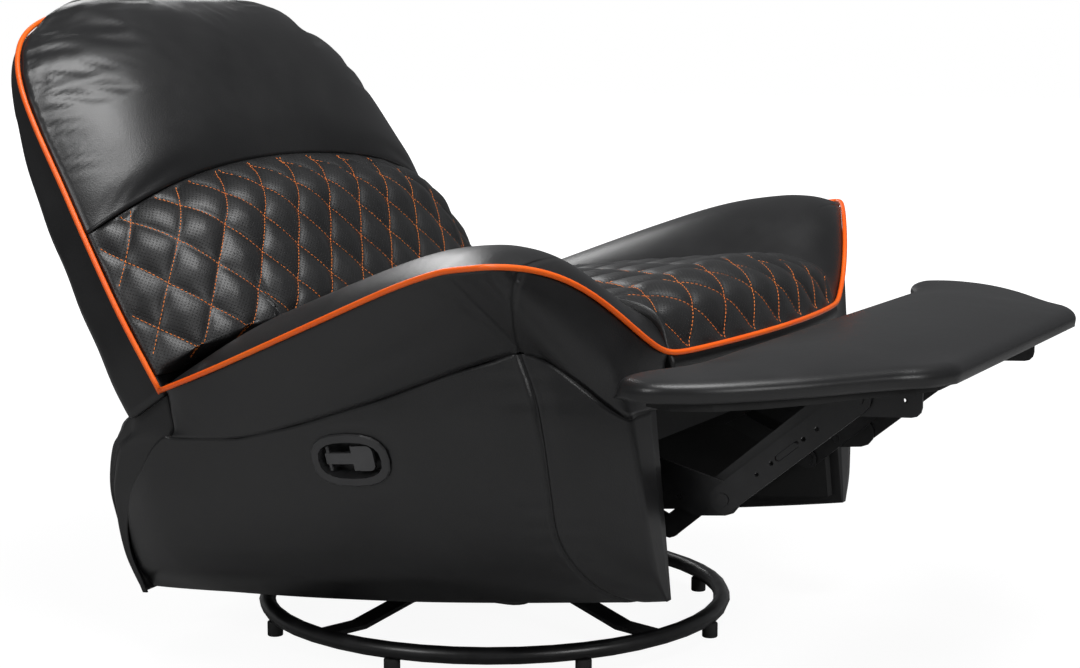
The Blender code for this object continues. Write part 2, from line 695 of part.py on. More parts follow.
def rock_springs(look, parent, plate_top):
    """Four coil springs between the turning plate and the cross beams, bent as the tub leans."""
    widest = 0
    for front, where in ((-1, "front"), (1, "rear")):
        level = (front * BEAM_SPACING / 2, BEAM_BOTTOM - GAP - ROCK_HEIGHT)
        top_y, top_z = turned_by(level, -ROCK_BACK)
        bottom = Vector((0.0, front * BEAM_SPACING / 2, plate_top + GAP))
        top = Vector((0.0, top_y, top_z + ROCK_HEIGHT))
        stub = 2 * SPRING_WIRE
        count = SPRING_TURNS * SPRING_POINTS
        coil = []
        for k in range(count + 1):
            share = k / count
            turn = 2 * math.pi * SPRING_TURNS * share
            lean = -ROCK_BACK * share
            across = Vector((1.0, 0.0, 0.0))
            over = Vector((0.0, math.cos(lean), math.sin(lean)))
            low = bottom + Vector((0.0, 0.0, 1.0)) * (stub + SPRING_WIRE)
            high = top - Vector((0.0, -math.sin(lean), math.cos(lean))) * (stub + SPRING_WIRE)
            coil.append(low.lerp(high, share) + across * (SPRING_RADIUS * math.cos(turn))
                        + over * (SPRING_RADIUS * math.sin(turn)))
        end_up = Vector((0.0, math.sin(ROCK_BACK), math.cos(ROCK_BACK)))
        start = Vector((SPRING_RADIUS, bottom.y, bottom.z))
        finish_point = top + Vector((SPRING_RADIUS, 0.0, 0.0))
        points = [start, start + Vector((0.0, 0.0, stub))] + coil[1:-1]
        points += [finish_point - end_up * stub, finish_point]
        apart = min((coil[i] - coil[j]).length for i in range(count + 1) for j in range(i)
                    if i - j > SPRING_POINTS // 2) - 2 * SPRING_WIRE
        print("least gap between turns of a %s rocker spring: %.2f mm" % (where, apart * 1000.0))
        for side, word in ((-1, "near"), (1, "far")):
            tube("rocker_spring_%s_%s" % (where, word), [p + Vector((side * SPRING_X, 0.0, 0.0)) for p in points],
                 SPRING_WIRE, look, parent, sides=SPRING_SIDES)


def seam_height(place):
    return along(place, SEAM_PLACES + REAR_PLACES, SEAM_HEIGHTS + REAR_HEIGHTS)


def side_half(place, height):
    """Half width of the tub's side at a place and height: tucked in at the front and rear ends."""
    full = along(height, SIDE_HEIGHTS, SIDE_WIDTHS)
    front = max(0.0, 1.0 - (place - TUB_FRONT) / FRONT_TURN) ** 2 * FRONT_TUCK_SHARE
    rear = max(0.0, 1.0 - (TUB_REAR - place) / REAR_TURN) ** 2 * REAR_TUCK_SHARE
    return full - (full - PANEL_X) * (front + rear)


def tub_bottom(place):
    middle = (TUB_FRONT + TUB_REAR) / 2
    return TUB_BOTTOM - BOTTOM_BOW * (1.0 - ((place - middle) / (TUB_REAR - middle)) ** 2)


def side_panel(side, word, leather, parent):
    """The padded side below the arm: a loft of upright sections from front to rear."""
    places = SEAM_PLACES + REAR_PLACES
    rings = []
    for place in places:
        low = tub_bottom(place)
        high = seam_height(place)
        ring = [(PANEL_X, place, low)]
        for level in range(SIDE_LEVELS + 1):
            height = blended(low, high, level / SIDE_LEVELS)
            ring.append((side_half(place, height), place, height))
        ring.append((PANEL_X, place, high))
        rings.append([(side * x, y, z) for x, y, z in ring])
    size = len(rings[0])
    verts = [p for ring in rings for p in ring]
    faces = [(i * size + k, i * size + (k + 1) % size, (i + 1) * size + (k + 1) % size, (i + 1) * size + k)
             for i in range(len(rings) - 1) for k in range(size)]
    faces.append(tuple(range(size)))
    faces.append(tuple((len(rings) - 1) * size + k for k in range(size)))
    return finish("side_panel_" + word, verts, faces, leather, parent)


def side_board(side, word, wood, parent):
    """The plywood side of the frame, cut to the seam line."""
    places = [p for p in SEAM_PLACES + REAR_PLACES if BOARD_FRONT <= p <= BOARD_REAR] + [BOARD_REAR]
    outline = [(BOARD_FRONT, BOARD_BOTTOM), (BOARD_REAR, BOARD_BOTTOM)]
    outline += [(p, seam_height(p)) for p in reversed(places)]
    side_plate("side_board_" + word, outline, BOARD_X, side, wood, parent, thickness=PLY)


def tub_frame(wood, parent):
    """Cross boards between the two sides, and the rear board."""
    half = BOARD_X - GAP
    deck = DECK_HEIGHT - 2 * GAP - 2 * SINUOUS_WIRE
    for name, y, low, high in (("front_rail", BOARD_FRONT, DECK_HEIGHT - FRONT_RAIL_DEPTH, deck),
                               ("rear_rail", REAR_RAIL_Y, DECK_HEIGHT - REAR_RAIL_DEPTH, deck)):
        plate(name, ((-half, low), (half, low), (half, high), (-half, high)), y, y + PLY, wood, parent,
              place=in_xz)
    outer = BOARD_X + PLY
    rear = BOARD_REAR + GAP
    plate("rear_board", ((-outer, BOARD_BOTTOM), (outer, BOARD_BOTTOM), (outer, REAR_PANEL_TOP),
                         (-outer, REAR_PANEL_TOP)), rear, rear + REAR_PANEL_THICKNESS, wood, parent, place=in_xz)


def seat_springs(look, parent):
    """Zigzag springs from the front rail to the rear rail, under the cushion."""
    start = BOARD_FRONT + PLY / 2
    end = REAR_RAIL_Y + PLY / 2
    turns = round((end - start) / SINUOUS_PITCH)
    height = DECK_HEIGHT - GAP - SINUOUS_WIRE
    for n in range(SINUOUS_COUNT):
        middle = (n - (SINUOUS_COUNT - 1) / 2) * SINUOUS_SPACING
        points = []
        for k in range(4 * turns + 1):
            swing = (0.0, 0.85, 1.0, 0.85)[k % 4] * (1 if k // 4 % 2 else -1)
            points.append((middle + SINUOUS_SWING * swing, blended(start, end, k / (4 * turns)), height))
        tube("seat_spring_%d" % (n + 1), points, SINUOUS_WIRE, look, parent, sides=SINUOUS_SIDES)


def arm_point(place_share, c):
    """A point of the arm's top, from the rear (0) to the front (1) and from the seat (0) to the edge (1)."""
    outer = through_line(ARM_EDGE, place_share)
    inner_y = blended(SEAM_PLACES[-1], ARM_FRONT[0][1], place_share)
    inner = Vector((BOARD_X, inner_y, along(inner_y, INNER_PLACES, INNER_HEIGHTS)))
    straight = inner.lerp(outer, c)
    pull = place_share ** 4
    last_inner = Vector(ARM_FRONT[0])
    last_outer = Vector(ARM_EDGE[-1])
    front = through_line(ARM_FRONT, c) - last_inner.lerp(last_outer, c)
    point = straight + front * pull
    point.z += 4.0 * c * (1.0 - c) * along(inner_y, CREST_PLACES, CREST_HEIGHTS)
    return point


def arm_under(place_share, c):
    """The point of the arm's underside on the side panel's top below arm_point."""
    y = blended(SEAM_PLACES[-1], TUB_FRONT, place_share)
    ahead = max(0.0, SEAM_PLACES[4] - y) / (SEAM_PLACES[4] - TUB_FRONT)
    beyond = max(0.0, c - ARM_CORNER_SHARE) / (1.0 - ARM_CORNER_SHARE)
    y += ARM_WRAP * ahead * beyond
    height = seam_height(y)
    edge = side_half(y, height)
    reach = blended(c, min(1.0, c / ARM_CORNER_SHARE), ahead)
    lift = ARM_LIFT * min(1.0, 3.0 * ahead) * min(1.0, 4.0 * beyond * (1.0 - beyond) + beyond)
    return Vector((blended(BOARD_X, edge, reach), y, height + SEAM_GAP + lift))


def arm_rows():
    """Shares along the arm that put its underside's rows at the seam's own places."""
    return [(SEAM_PLACES[-1] - y) / (SEAM_PLACES[-1] - TUB_FRONT) for y in reversed(SEAM_PLACES)]


def arm(side, word, leather, parent):
    """The winged arm: a crest over the seat, a flared edge and a front that turns in to the seat."""
    shares = arm_rows()
    last_row, last_column = len(shares) - 1, ARM_COLUMNS - 1

    def mirrored(p):
        return Vector((side * p.x, p.y, p.z))

    top = [[mirrored(arm_point(r, j / last_column)) for j in range(ARM_COLUMNS)] for r in shares]
    under = [[mirrored(arm_under(r, j / last_column)) for j in range(ARM_COLUMNS)] for r in shares]

    def waist(i, j):
        point = top[i][j].lerp(under[i][j], 0.5)
        if j == last_column and 0 < i < last_row:
            point.x += side * ARM_BULGE
        return point

    return pillow("arm_" + word, top, under, leather, parent, rims=(waist,))


def seat_row(k, rows):
    """Place and height of a row of the seat's top at its middle, from the front edge to the rear."""
    if k <= ROLL_ROWS:
        angle = math.pi / 2 * k / ROLL_ROWS
        return (SEAT_FRONT + SEAT_ROLL * (1.0 - math.cos(angle)),
                DECK_HEIGHT + blended(SEAT_EDGE_RISE, SEAT_RISE, math.sin(angle)))
    share = (k - ROLL_ROWS) / (rows - 1 - ROLL_ROWS)
    return (blended(SEAT_FRONT + SEAT_ROLL, SEAT_REAR, share), DECK_HEIGHT + SEAT_RISE - SEAT_REAR_DROP * share ** 3)


def seat_top():
    """The seat's top grid: crowned, rolled at the front, and sewn in diamonds."""
    rows = 2 * SEAT_DIAMONDS_DEEP + 1
    columns = 2 * SEAT_DIAMONDS_WIDE + 1
    half = BOARD_X - 2 * GAP
    grid = []
    for i in range(rows):
        y, z = seat_row(i, rows)
        row = []
        for j in range(columns):
            c = 2.0 * j / (columns - 1) - 1.0
            bow = SEAT_FRONT_BOW * c * c * (1.0 - i / (rows - 1)) ** 2
            crown = SEAT_CROWN * (1.0 - c * c) * min(1.0, i / ROLL_ROWS)
            tuft = TUFT_DEPTH if (i + j) % 2 == 0 and 0 < i < rows - 1 and abs(c) < 1.0 else 0.0
            row.append(Vector((half * c, y + bow, z + crown - tuft)))
        grid.append(row)
    return grid


def seat_cushion(leather, parent):
    top = seat_top()
    bottom = [[Vector((p.x, p.y, DECK_HEIGHT)) for p in row] for row in top]

    def side(i, j):
        """The sides draw in a little between the top's edge and the deck."""
        p = top[i][j].lerp(bottom[i][j], 0.5)
        return Vector((p.x * (1.0 - GAP / BOARD_X), p.y, p.z))

    pillow("seat_cushion", top, bottom, leather, parent, rims=(side,))


def offset_line(points, distance, plane):
    """Points of a line moved square to it, to the left of its run, within one plane."""
    a, b = plane
    moved = []
    for i, p in enumerate(points):
        run = points[min(i + 1, len(points) - 1)] - points[max(i - 1, 0)]
        length = math.hypot(run[a], run[b])
        q = p.copy()
        q[a] -= run[b] / length * distance
        q[b] += run[a] / length * distance
        moved.append(q)
    return moved


def seat_piping(orange, parent):
    """One welt from the rear of an arm, round its front, along the seat and round the other arm."""
    edge = [arm_point(r, 1.0) for r in arm_rows()]
    count = ARM_COLUMNS - 1
    edge += [arm_point(1.0, j / count) for j in range(count - 1, -1, -1)]
    far = edge
    near = [Vector((-p.x, p.y, p.z)) for p in reversed(edge)]
    front = [p for p in reversed(seat_top()[0])][1:-1]
    run = far + front + near
    tube("arm_piping", offset_line(run, PIPING_RADIUS + SEAM_GAP, (0, 1)), PIPING_RADIUS, orange, parent)


def gusset(leather, parent):
    """The loose band of leather round the rear, between the tub's edge and the foot of the back."""
    def ring(inset):
        rows = []
        for seam, rear, half in zip(GUSSET_SEAMS, GUSSET_REARS, GUSSET_HALVES):
            height = seam_height(seam) + GAP
            row = []
            for k in range(GUSSET_STEPS + 1):
                angle = math.pi * k / GUSSET_STEPS
                across = math.copysign(abs(math.cos(angle)) ** (2 / GUSSET_SQUARENESS), math.cos(angle))
                back = math.sin(angle) ** (2 / GUSSET_SQUARENESS) if 0 < k < GUSSET_STEPS else 0.0
                row.append(Vector(((half - inset) * across, seam + (rear - inset - seam) * back, height)))
            rows.append(row)
        return rows

    pillow("rear_gusset", ring(0.0), ring(GUSSET_THICKNESS), leather, parent)


def back_half(s):
    return along(s, BACK_STATIONS, BACK_HALVES)


def back_seam(x):
    return SEAM_MIDDLE - SEAM_DROP * (x / SEAM_DROP_HALF) ** 2


def on_back(x, s, forward):
    """A point of the back in its own empty: across, up along the back, forward of the piping."""
    return Vector((x, -forward, s))


def head_pad(leather, parent):
    """The padded head and shoulder panel above the lumbar seam."""
    first, last = HEAD_STATIONS[0], HEAD_STATIONS[-1]
    front, rear = [], []
    for station in HEAD_STATIONS:
        share = (station - first) / (last - first)
        row, flat = [], []
        for j in range(HEAD_COLUMNS):
            c = 2.0 * j / (HEAD_COLUMNS - 1) - 1.0
            low = back_seam(c * back_half(station)) + SEAM_GAP
            s = blended(low, last, share)
            x = c * back_half(s)
            rise = blended(HEAD_SEAM_SHARE, 1.0, smooth_share(share / 0.22))
            fall = 1.0 - max(0.0, (share - 0.35) / 0.65) ** 2.4
            crown = HEAD_CROWN * (1.0 - abs(c) ** 4.5) * rise * fall
            row.append(on_back(x, s, BACK_EDGE + crown))
            flat.append(on_back(x, s, GAP))
        front.append(row)
        rear.append(flat)
    pillow("head_pad", front, rear, leather, parent)


def lumbar_cushion(leather, parent):
    """The quilted lower cushion: wings over the arms, and a tongue down between them."""
    columns = [-c for c in reversed(LUMBAR_SHARES[1:])] + list(LUMBAR_SHARES)
    front, rear = [], []
    for i in range(LUMBAR_ROWS):
        share = i / (LUMBAR_ROWS - 1)
        row, flat = [], []
        for j, c in enumerate(columns):
            inside = abs(c) * BACK_HALVES[0] <= TONGUE_HALF
            low = TONGUE_BOTTOM if inside else WING_BOTTOM
            high = back_seam(c * back_half(SEAM_MIDDLE)) - SEAM_GAP
            s = blended(low, high, share)
            x = c * back_half(s)
            rise = blended(LUMBAR_FOOT_SHARE, 1.0, smooth_share(share / 0.35))
            fall = blended(1.0, LUMBAR_SEAM_SHARE, smooth_share((share - 0.72) / 0.28))
            crown = LUMBAR_CROWN * (1.0 - abs(c) ** 4.5) * rise * fall
            if not inside:
                crown *= smooth_share((s - WING_BOTTOM) / WING_RISE)
            sewn = (i + j) % 2 == 0 and 0 < i < LUMBAR_ROWS - 1 and 0 < j < len(columns) - 1
            depth = BACK_EDGE + crown - (TUFT_DEPTH if sewn and crown > TUFT_DEPTH else 0.0)
            row.append(on_back(x, s, depth))
            flat.append(on_back(x, s, GAP))
        front.append(row)
        rear.append(flat)
    pillow("lumbar_cushion", front, rear, leather, parent)


def frame_outline(inset, waist, low, shoulder):
    """The back board: narrow between the hinge brackets and following the back above them."""
    top = BACK_STATIONS[-1] - inset
    up = [s for s in BACK_STATIONS if shoulder < s < top - inset / 2]
    side = [(back_half(shoulder) - inset, shoulder)]
    side += [(back_half(s + inset / 2) - inset, s) for s in up]
    side.append((back_half(BACK_STATIONS[-1]) - inset, top))
    right = [(waist, low), (waist, shoulder - STEEL)] + side
    return right + [(-x, s) for x, s in reversed(right)]


def back_frame(wood, parent):
    outline = frame_outline(FRAME_INSET, BRACKET_X - GAP, FRAME_BOTTOM, FRAME_SHOULDER)
    plate("back_frame", outline, 0.0, FRAME_THICKNESS, wood, parent, place=in_xz)


def back_shell(leather, parent):
    """The padded outer back, rounded behind and hollowed in front for the board and brackets."""
    front, rear = [], []
    for s in SHELL_STATIONS:
        half = back_half(s)
        band = along(s, SHELL_PLACES, SHELL_BAND)
        depth = along(s, SHELL_PLACES, SHELL_DEPTHS)
        row, flat = [], []
        for j in range(SHELL_COLUMNS):
            c = 2.0 * j / (SHELL_COLUMNS - 1) - 1.0
            flat.append(on_back(c * half, s, -GAP))
            row.append(on_back(c * half, s, -band - (depth - band) * (1.0 - abs(c) ** 2.2)))
        front.append(flat)
        rear.append(row)
    shell = pillow("back_shell", front, rear, leather, parent)
    outline = frame_outline(FRAME_INSET - GAP, BRACKET_X + STEEL + GAP, SHELL_BOTTOM - CUT_OVERRUN,
                            FRAME_SHOULDER - GAP)
    hollow = plate("hollow_guide", outline, -CUT_OVERRUN, FRAME_THICKNESS + GAP, leather, parent, place=in_xz)
    add_boolean(shell, as_guide(hollow), "DIFFERENCE")
    slot = ((-CUT_OVERRUN, SHELL_BOTTOM - CUT_OVERRUN), (POST_SLOT_DEPTH, SHELL_BOTTOM - CUT_OVERRUN),
            (POST_SLOT_DEPTH, POST_SLOT_TOP), (-CUT_OVERRUN, POST_SLOT_TOP))
    for side, word in ((-1, "near"), (1, "far")):
        inner = BRACKET_X + STEEL / 2
        cutter = side_plate("post_slot_guide_" + word, slot, inner, side, leather, parent,
                            thickness=BOARD_X + RUNNING_GAP - inner)
        add_boolean(shell, as_guide(cutter), "DIFFERENCE")


def back_piping(orange, parent):
    """The welt round the back, up one side, over the top and down the other."""
    side = [Vector((back_half(s), 0.0, s)) for s in (0.0,) + BACK_STATIONS[1:]]
    top = side[-1]
    bridge = [Vector((top.x * share, 0.0, top.z)) for share in (0.5, 0.0, -0.5)]
    run = side + bridge + [Vector((-p.x, p.y, p.z)) for p in reversed(side)]
    tube("back_piping", offset_line(run, -(PIPING_RADIUS + SEAM_GAP), (0, 2)), PIPING_RADIUS, orange, parent)


def back_hinges(steel, tub, back):
    """On each side a post on the side board, with the stud that the back's bracket turns on."""
    for side, word in ((-1, "near"), (1, "far")):
        y, z = HINGE
        foot = z - POST_FOOT
        outline = hull(((y, z, BRACKET_EYE), (y - POST_HALF, foot, STEEL), (y + POST_HALF, foot, STEEL)))
        side_plate("hinge_post_" + word, outline, POST_X, side, steel, tub,
                   inboard=(flush((y, z), STEEL + RUNNING_GAP, HINGE_STUD, 12),))
        eye = BRACKET_EYE
        arc = [(eye * math.cos(a), eye * math.sin(a)) for a in
               (math.radians(150.0 + 240.0 * k / 10) for k in range(11))]
        outline = [(u, v) for u, v in arc]
        outline += [(FRAME_THICKNESS, WING_BOTTOM), (FRAME_THICKNESS, BRACKET_RISE), (GAP, BRACKET_RISE),
                    (GAP, eye)]
        side_plate("back_bracket_" + word, outline, BRACKET_X, side, steel, back,
                   holes=(bore((0.0, 0.0), HINGE_STUD),))


def pad_outline(share_along, c):
    """Plan place of the pad at a share of its depth and of its width, ears drawn back."""
    deep = PAD_STATIONS[-1]
    station = share_along * deep
    half = along(station, PAD_STATIONS, PAD_HALVES)
    x = c * half
    ear = EAR_REACH * smooth_share((abs(x) - EAR_START) / (EAR_END - EAR_START)) * (1.0 - share_along) ** 3
    return x, -station + ear


def pad_place(share, c, inset):
    """Plan place on the pad, drawn in by an inset from the pad's outline."""
    middle = PAD_STATIONS[-1] / 2
    x, y = pad_outline(share, c)
    return x * (1.0 - inset / PAD_HALVES[0]), -middle + (y + middle) * (1.0 - inset / middle)


def footrest_pad(leather, wood, parent):
    """The winged pad of the footrest on its plywood board."""
    shares = [station / PAD_STATIONS[-1] for station in PAD_STATIONS]
    across = [2.0 * j / (PAD_COLUMNS - 1) - 1.0 for j in range(PAD_COLUMNS)]
    edge = [(0.0, c) for c in across[:-1]] + [(share, 1.0) for share in shares[:-1]]
    edge += [(1.0, c) for c in reversed(across[1:])] + [(share, -1.0) for share in reversed(shares[1:])]
    plate("footrest_board", [pad_place(share, c, PAD_BOARD_MARGIN) for share, c in edge],
          0.0, PAD_BOARD_THICKNESS, wood, parent, place=in_xy)
    top, bottom = [], []
    for share in shares:
        row, flat = [], []
        for c in across:
            x, y = pad_place(share, c, 0.0)
            rise = (1.0 - abs(c) ** 3) * (1.0 - abs(2.0 * share - 1.0) ** 2.5)
            row.append(Vector((x, y, PAD_EDGE + PAD_CROWN * rise)))
            flat.append(Vector((x, y, PAD_BOARD_THICKNESS + GAP)))
        top.append(row)
        bottom.append(flat)
    pillow("footrest_pad", top, bottom, leather, parent)


class Linkage:
    """Pivots of the footrest linkage, worked out from its open and closed places."""

    def __init__(self):
        knee = (KNEE[0] - HEEL[0], KNEE[1] - HEEL[1])
        toe = (TOE[0] - KNEE[0], TOE[1] - KNEE[1])
        self.crank = math.hypot(*knee)
        self.long = math.hypot(*toe)
        arm_y, arm_z = turned_by((TOE[0] - PAD_REAR[0], TOE[1] - PAD_REAR[1]), FOLD_TURN)
        closed = (CLOSED_PAD_REAR[0] + arm_y - HEEL[0], CLOSED_PAD_REAR[1] + arm_z - HEEL[1])
        reach = math.hypot(*closed)
        spread = math.acos((self.crank ** 2 + reach ** 2 - self.long ** 2) / (2 * self.crank * reach))
        ahead = math.atan2(closed[1], closed[0]) + spread
        self.crank_turn = (ahead - math.atan2(knee[1], knee[0])) % (2 * math.pi)
        ankle = (self.crank * math.cos(ahead), self.crank * math.sin(ahead))
        link_angle = math.atan2(closed[1] - ankle[1], closed[0] - ankle[0])
        turn = link_angle - math.atan2(toe[1], toe[0])
        self.link_turn = (turn + math.pi) % (2 * math.pi) - math.pi
        self.front = (TOE[0] + CONTROL_BACK, TOE[1] - CONTROL_DROP)
        found = []
        for share in (0.0, 0.5, 1.0):
            y, z = self.carried(self.front, share)
            back = turned_by((y - HEEL[0], z - HEEL[1]), -self.crank_turn * share)
            found.append((back[0] + HEEL[0], back[1] + HEEL[1]))
        self.elbow, self.control = circle_through(*found)
        tails = [self.tail(share) for share in (0.0, 0.5, 1.0)]
        self.anchor, self.stay = circle_through(*tails)
        self.tail_open = tails[0]

    def carried(self, point, share):
        """Where a point of the pad's bracket goes at a share of the way closed."""
        knee = turned_by((KNEE[0] - HEEL[0], KNEE[1] - HEEL[1]), self.crank_turn * share)
        toe = turned_by((TOE[0] - KNEE[0], TOE[1] - KNEE[1]), self.link_turn * share)
        own = turned_by((point[0] - TOE[0], point[1] - TOE[1]), FOLD_TURN * share)
        return (HEEL[0] + knee[0] + toe[0] + own[0], HEEL[1] + knee[1] + toe[1] + own[1])

    def tail(self, share):
        """The rear end of the control link at a share of the way closed."""
        front = self.carried(self.front, share)
        arm_y, arm_z = turned_by((self.elbow[0] - HEEL[0], self.elbow[1] - HEEL[1]), self.crank_turn * share)
        elbow = (HEEL[0] + arm_y, HEEL[1] + arm_z)
        longer = 1.0 + CONTROL_TAIL / self.control
        return (front[0] + (elbow[0] - front[0]) * longer, front[1] + (elbow[1] - front[1]) * longer)

    def turns(self):
        """Relative turns of crank, long link, footrest, control link and stay, open to closed."""
        def angle(a, b):
            return math.atan2(b[1] - a[1], b[0] - a[0])

        front = self.carried(self.front, 1.0)
        control = (angle(front, self.tail(1.0)) - angle(self.front, self.tail_open)) % (2 * math.pi)
        if control > math.pi:
            control -= 2 * math.pi
        stay = (angle(self.anchor, self.tail(1.0)) - angle(self.anchor, self.tail_open)) % (2 * math.pi)
        return {"crank": self.crank_turn, "long_link": self.link_turn - self.crank_turn,
                "footrest": FOLD_TURN - self.link_turn, "control_link": control - self.crank_turn, "stay_link": stay}


def between(first, last, share):
    return (blended(first[0], last[0], share), blended(first[1], last[1], share))


def rib(first, last):
    """The outline of a long raised rib between two shares of a link."""
    a, b = between(first, last, RIB_START_SHARE), between(first, last, RIB_END_SHARE)
    return hull(((a[0], a[1], RIB_WIDTH / 2), (b[0], b[1], RIB_WIDTH / 2)), 10)


def footrest_linkage(side, word, steel, links, parents):
    """Rail, crank, long link, control link, stay and pad bracket of one side."""
    step = LAYER + RUNNING_GAP
    seat = BEAM_BOTTOM + BEAM_HEIGHT + GAP
    anchor = links.anchor
    outline = hull(((HEEL[0], HEEL[1], RAIL_EYE), (anchor[0], anchor[1], anchor[1] - seat),
                    (RAIL_REAR, seat + RAIL_END, RAIL_END)), 20)
    side_plate("mechanism_rail_" + word, outline, RAIL_X, side, steel, parents["tub"],
               holes=(bore(HEEL, TORQUE_TUBE_RADIUS),), outboard=(headed(anchor, step),))
    outline = hull(((*anchor, SMALL_EYE), (*links.tail_open, SMALL_EYE)))
    side_plate("stay_link_" + word, outline, STAY_X, side, steel, parents["stay"],
               holes=(bore(anchor, STUD_RADIUS), bore(links.tail_open, STUD_RADIUS + TAIL_PIVOT_CLEARANCE)))
    outline = hull(((*links.front, SMALL_EYE), (*links.tail_open, SMALL_EYE)))
    side_plate("control_link_" + word, outline, CONTROL_X, side, steel, parents["control"],
               holes=(bore(links.front, STUD_RADIUS + OPEN_PIVOT_CLEARANCE), bore(links.elbow, STUD_RADIUS)),
               inboard=(headed(links.tail_open, step),))
    outline = hull(((*HEEL, CRANK_EYE), (*KNEE, CRANK_EYE), (*links.elbow, SMALL_EYE)))
    side_plate("footrest_crank_" + word, outline, CRANK_X, side, steel, parents["crank"],
               holes=(bore(HEEL, TORQUE_SHANK),), outboard=(headed(KNEE, step),),
               inboard=(flush(links.elbow, LAYER),))
    outline = hull(((*KNEE, LINK_EYE), (*TOE, LINK_EYE)))
    holes = [bore(KNEE, STUD_RADIUS), bore(TOE, STUD_RADIUS)]
    holes += [circle(between(KNEE, TOE, share), LINK_HOLE, 6) for share in LINK_HOLE_SHARES]
    side_plate("long_link_" + word, outline, LONG_X, side, steel, parents["long"], holes=holes,
               outboard=((rib(KNEE, TOE), ((RIB_HEIGHT, 0.85),)),))


def in_pad(point):
    """A place of the open linkage, measured in the pad's own frame from its rear underside."""
    return turned_by((point[0] - PAD_REAR[0], point[1] - PAD_REAR[1]), -PAD_DROOP)


def pad_bracket(side, word, steel, links, parent):
    """The bracket under the pad: an upright plate with both pivots and a flange against the board."""
    toe, front = in_pad(TOE), in_pad(links.front)
    corner = STEEL
    top = -GAP - corner
    outline = hull(((*toe, SMALL_EYE), (*front, SMALL_EYE), (-BRACKET_BACK - corner, top, corner),
                    (-BRACKET_FRONT + corner, top, corner),
                    (-BRACKET_FRONT + BRACKET_TIP, -GAP - 2 * BRACKET_TIP, BRACKET_TIP)))
    step = LAYER + RUNNING_GAP
    tip = (-BRACKET_FRONT + 1.6 * BRACKET_TIP, -GAP - 1.4 * BRACKET_TIP)
    piece = side_plate("pad_bracket_" + word, outline, CRANK_X, side, steel, parent,
                       holes=(circle(tip, LINK_HOLE, 8),),
                       outboard=(headed(toe, step),), inboard=(headed(front, step),))
    inner, outer = CRANK_X - FLANGE_WIDTH, CRANK_X + STEEL / 2
    low, high = (inner, outer) if side > 0 else (-outer, -inner)
    outline = ((low, -BRACKET_FRONT + corner), (high, -BRACKET_FRONT + corner),
               (high, -BRACKET_BACK - corner), (low, -BRACKET_BACK - corner))
    flange = plate("flange_guide_" + word, outline, -GAP - STEEL, -GAP, steel, parent, place=in_xy)
    add_boolean(piece, as_guide(flange), "UNION")


def torque_tube(steel, parent):
    """The cross tube that turns both cranks, shouldered and headed over at its ends."""
    inner = CRANK_X - GAP
    outer = CRANK_X + STEEL + GAP
    head = outer + STUD_HEAD_THICKNESS
    profile = ((TORQUE_TUBE_RADIUS, -head), (TORQUE_TUBE_RADIUS, -outer), (TORQUE_SHANK, -outer),
               (TORQUE_SHANK, -inner), (TORQUE_TUBE_RADIUS, -inner), (TORQUE_TUBE_RADIUS, inner),
               (TORQUE_SHANK, inner), (TORQUE_SHANK, outer), (TORQUE_TUBE_RADIUS, outer),
               (TORQUE_TUBE_RADIUS, head))
    turned("torque_tube", profile, 12, steel, parent, location=(0.0, *HEEL), rotation=(0.0, math.pi / 2, 0.0))


def handle_frame(parent):
    """An empty on the near side panel's surface: X forward, Y up the panel and Z straight out of it."""
    half = side_half(HANDLE_Y, HANDLE_Z)
    lean = math.atan2(side_half(HANDLE_Y, HANDLE_Z + HANDLE_WIDTH / 2) - half, HANDLE_WIDTH / 2)
    up = Vector((-math.sin(lean), 0.0, math.cos(lean)))
    ahead = Vector((0.0, -1.0, 0.0))
    turn = Matrix((ahead, up, ahead.cross(up))).transposed()
    return empty("handle_frame", (-half, HANDLE_Y, HANDLE_Z), turn.to_euler(), parent)


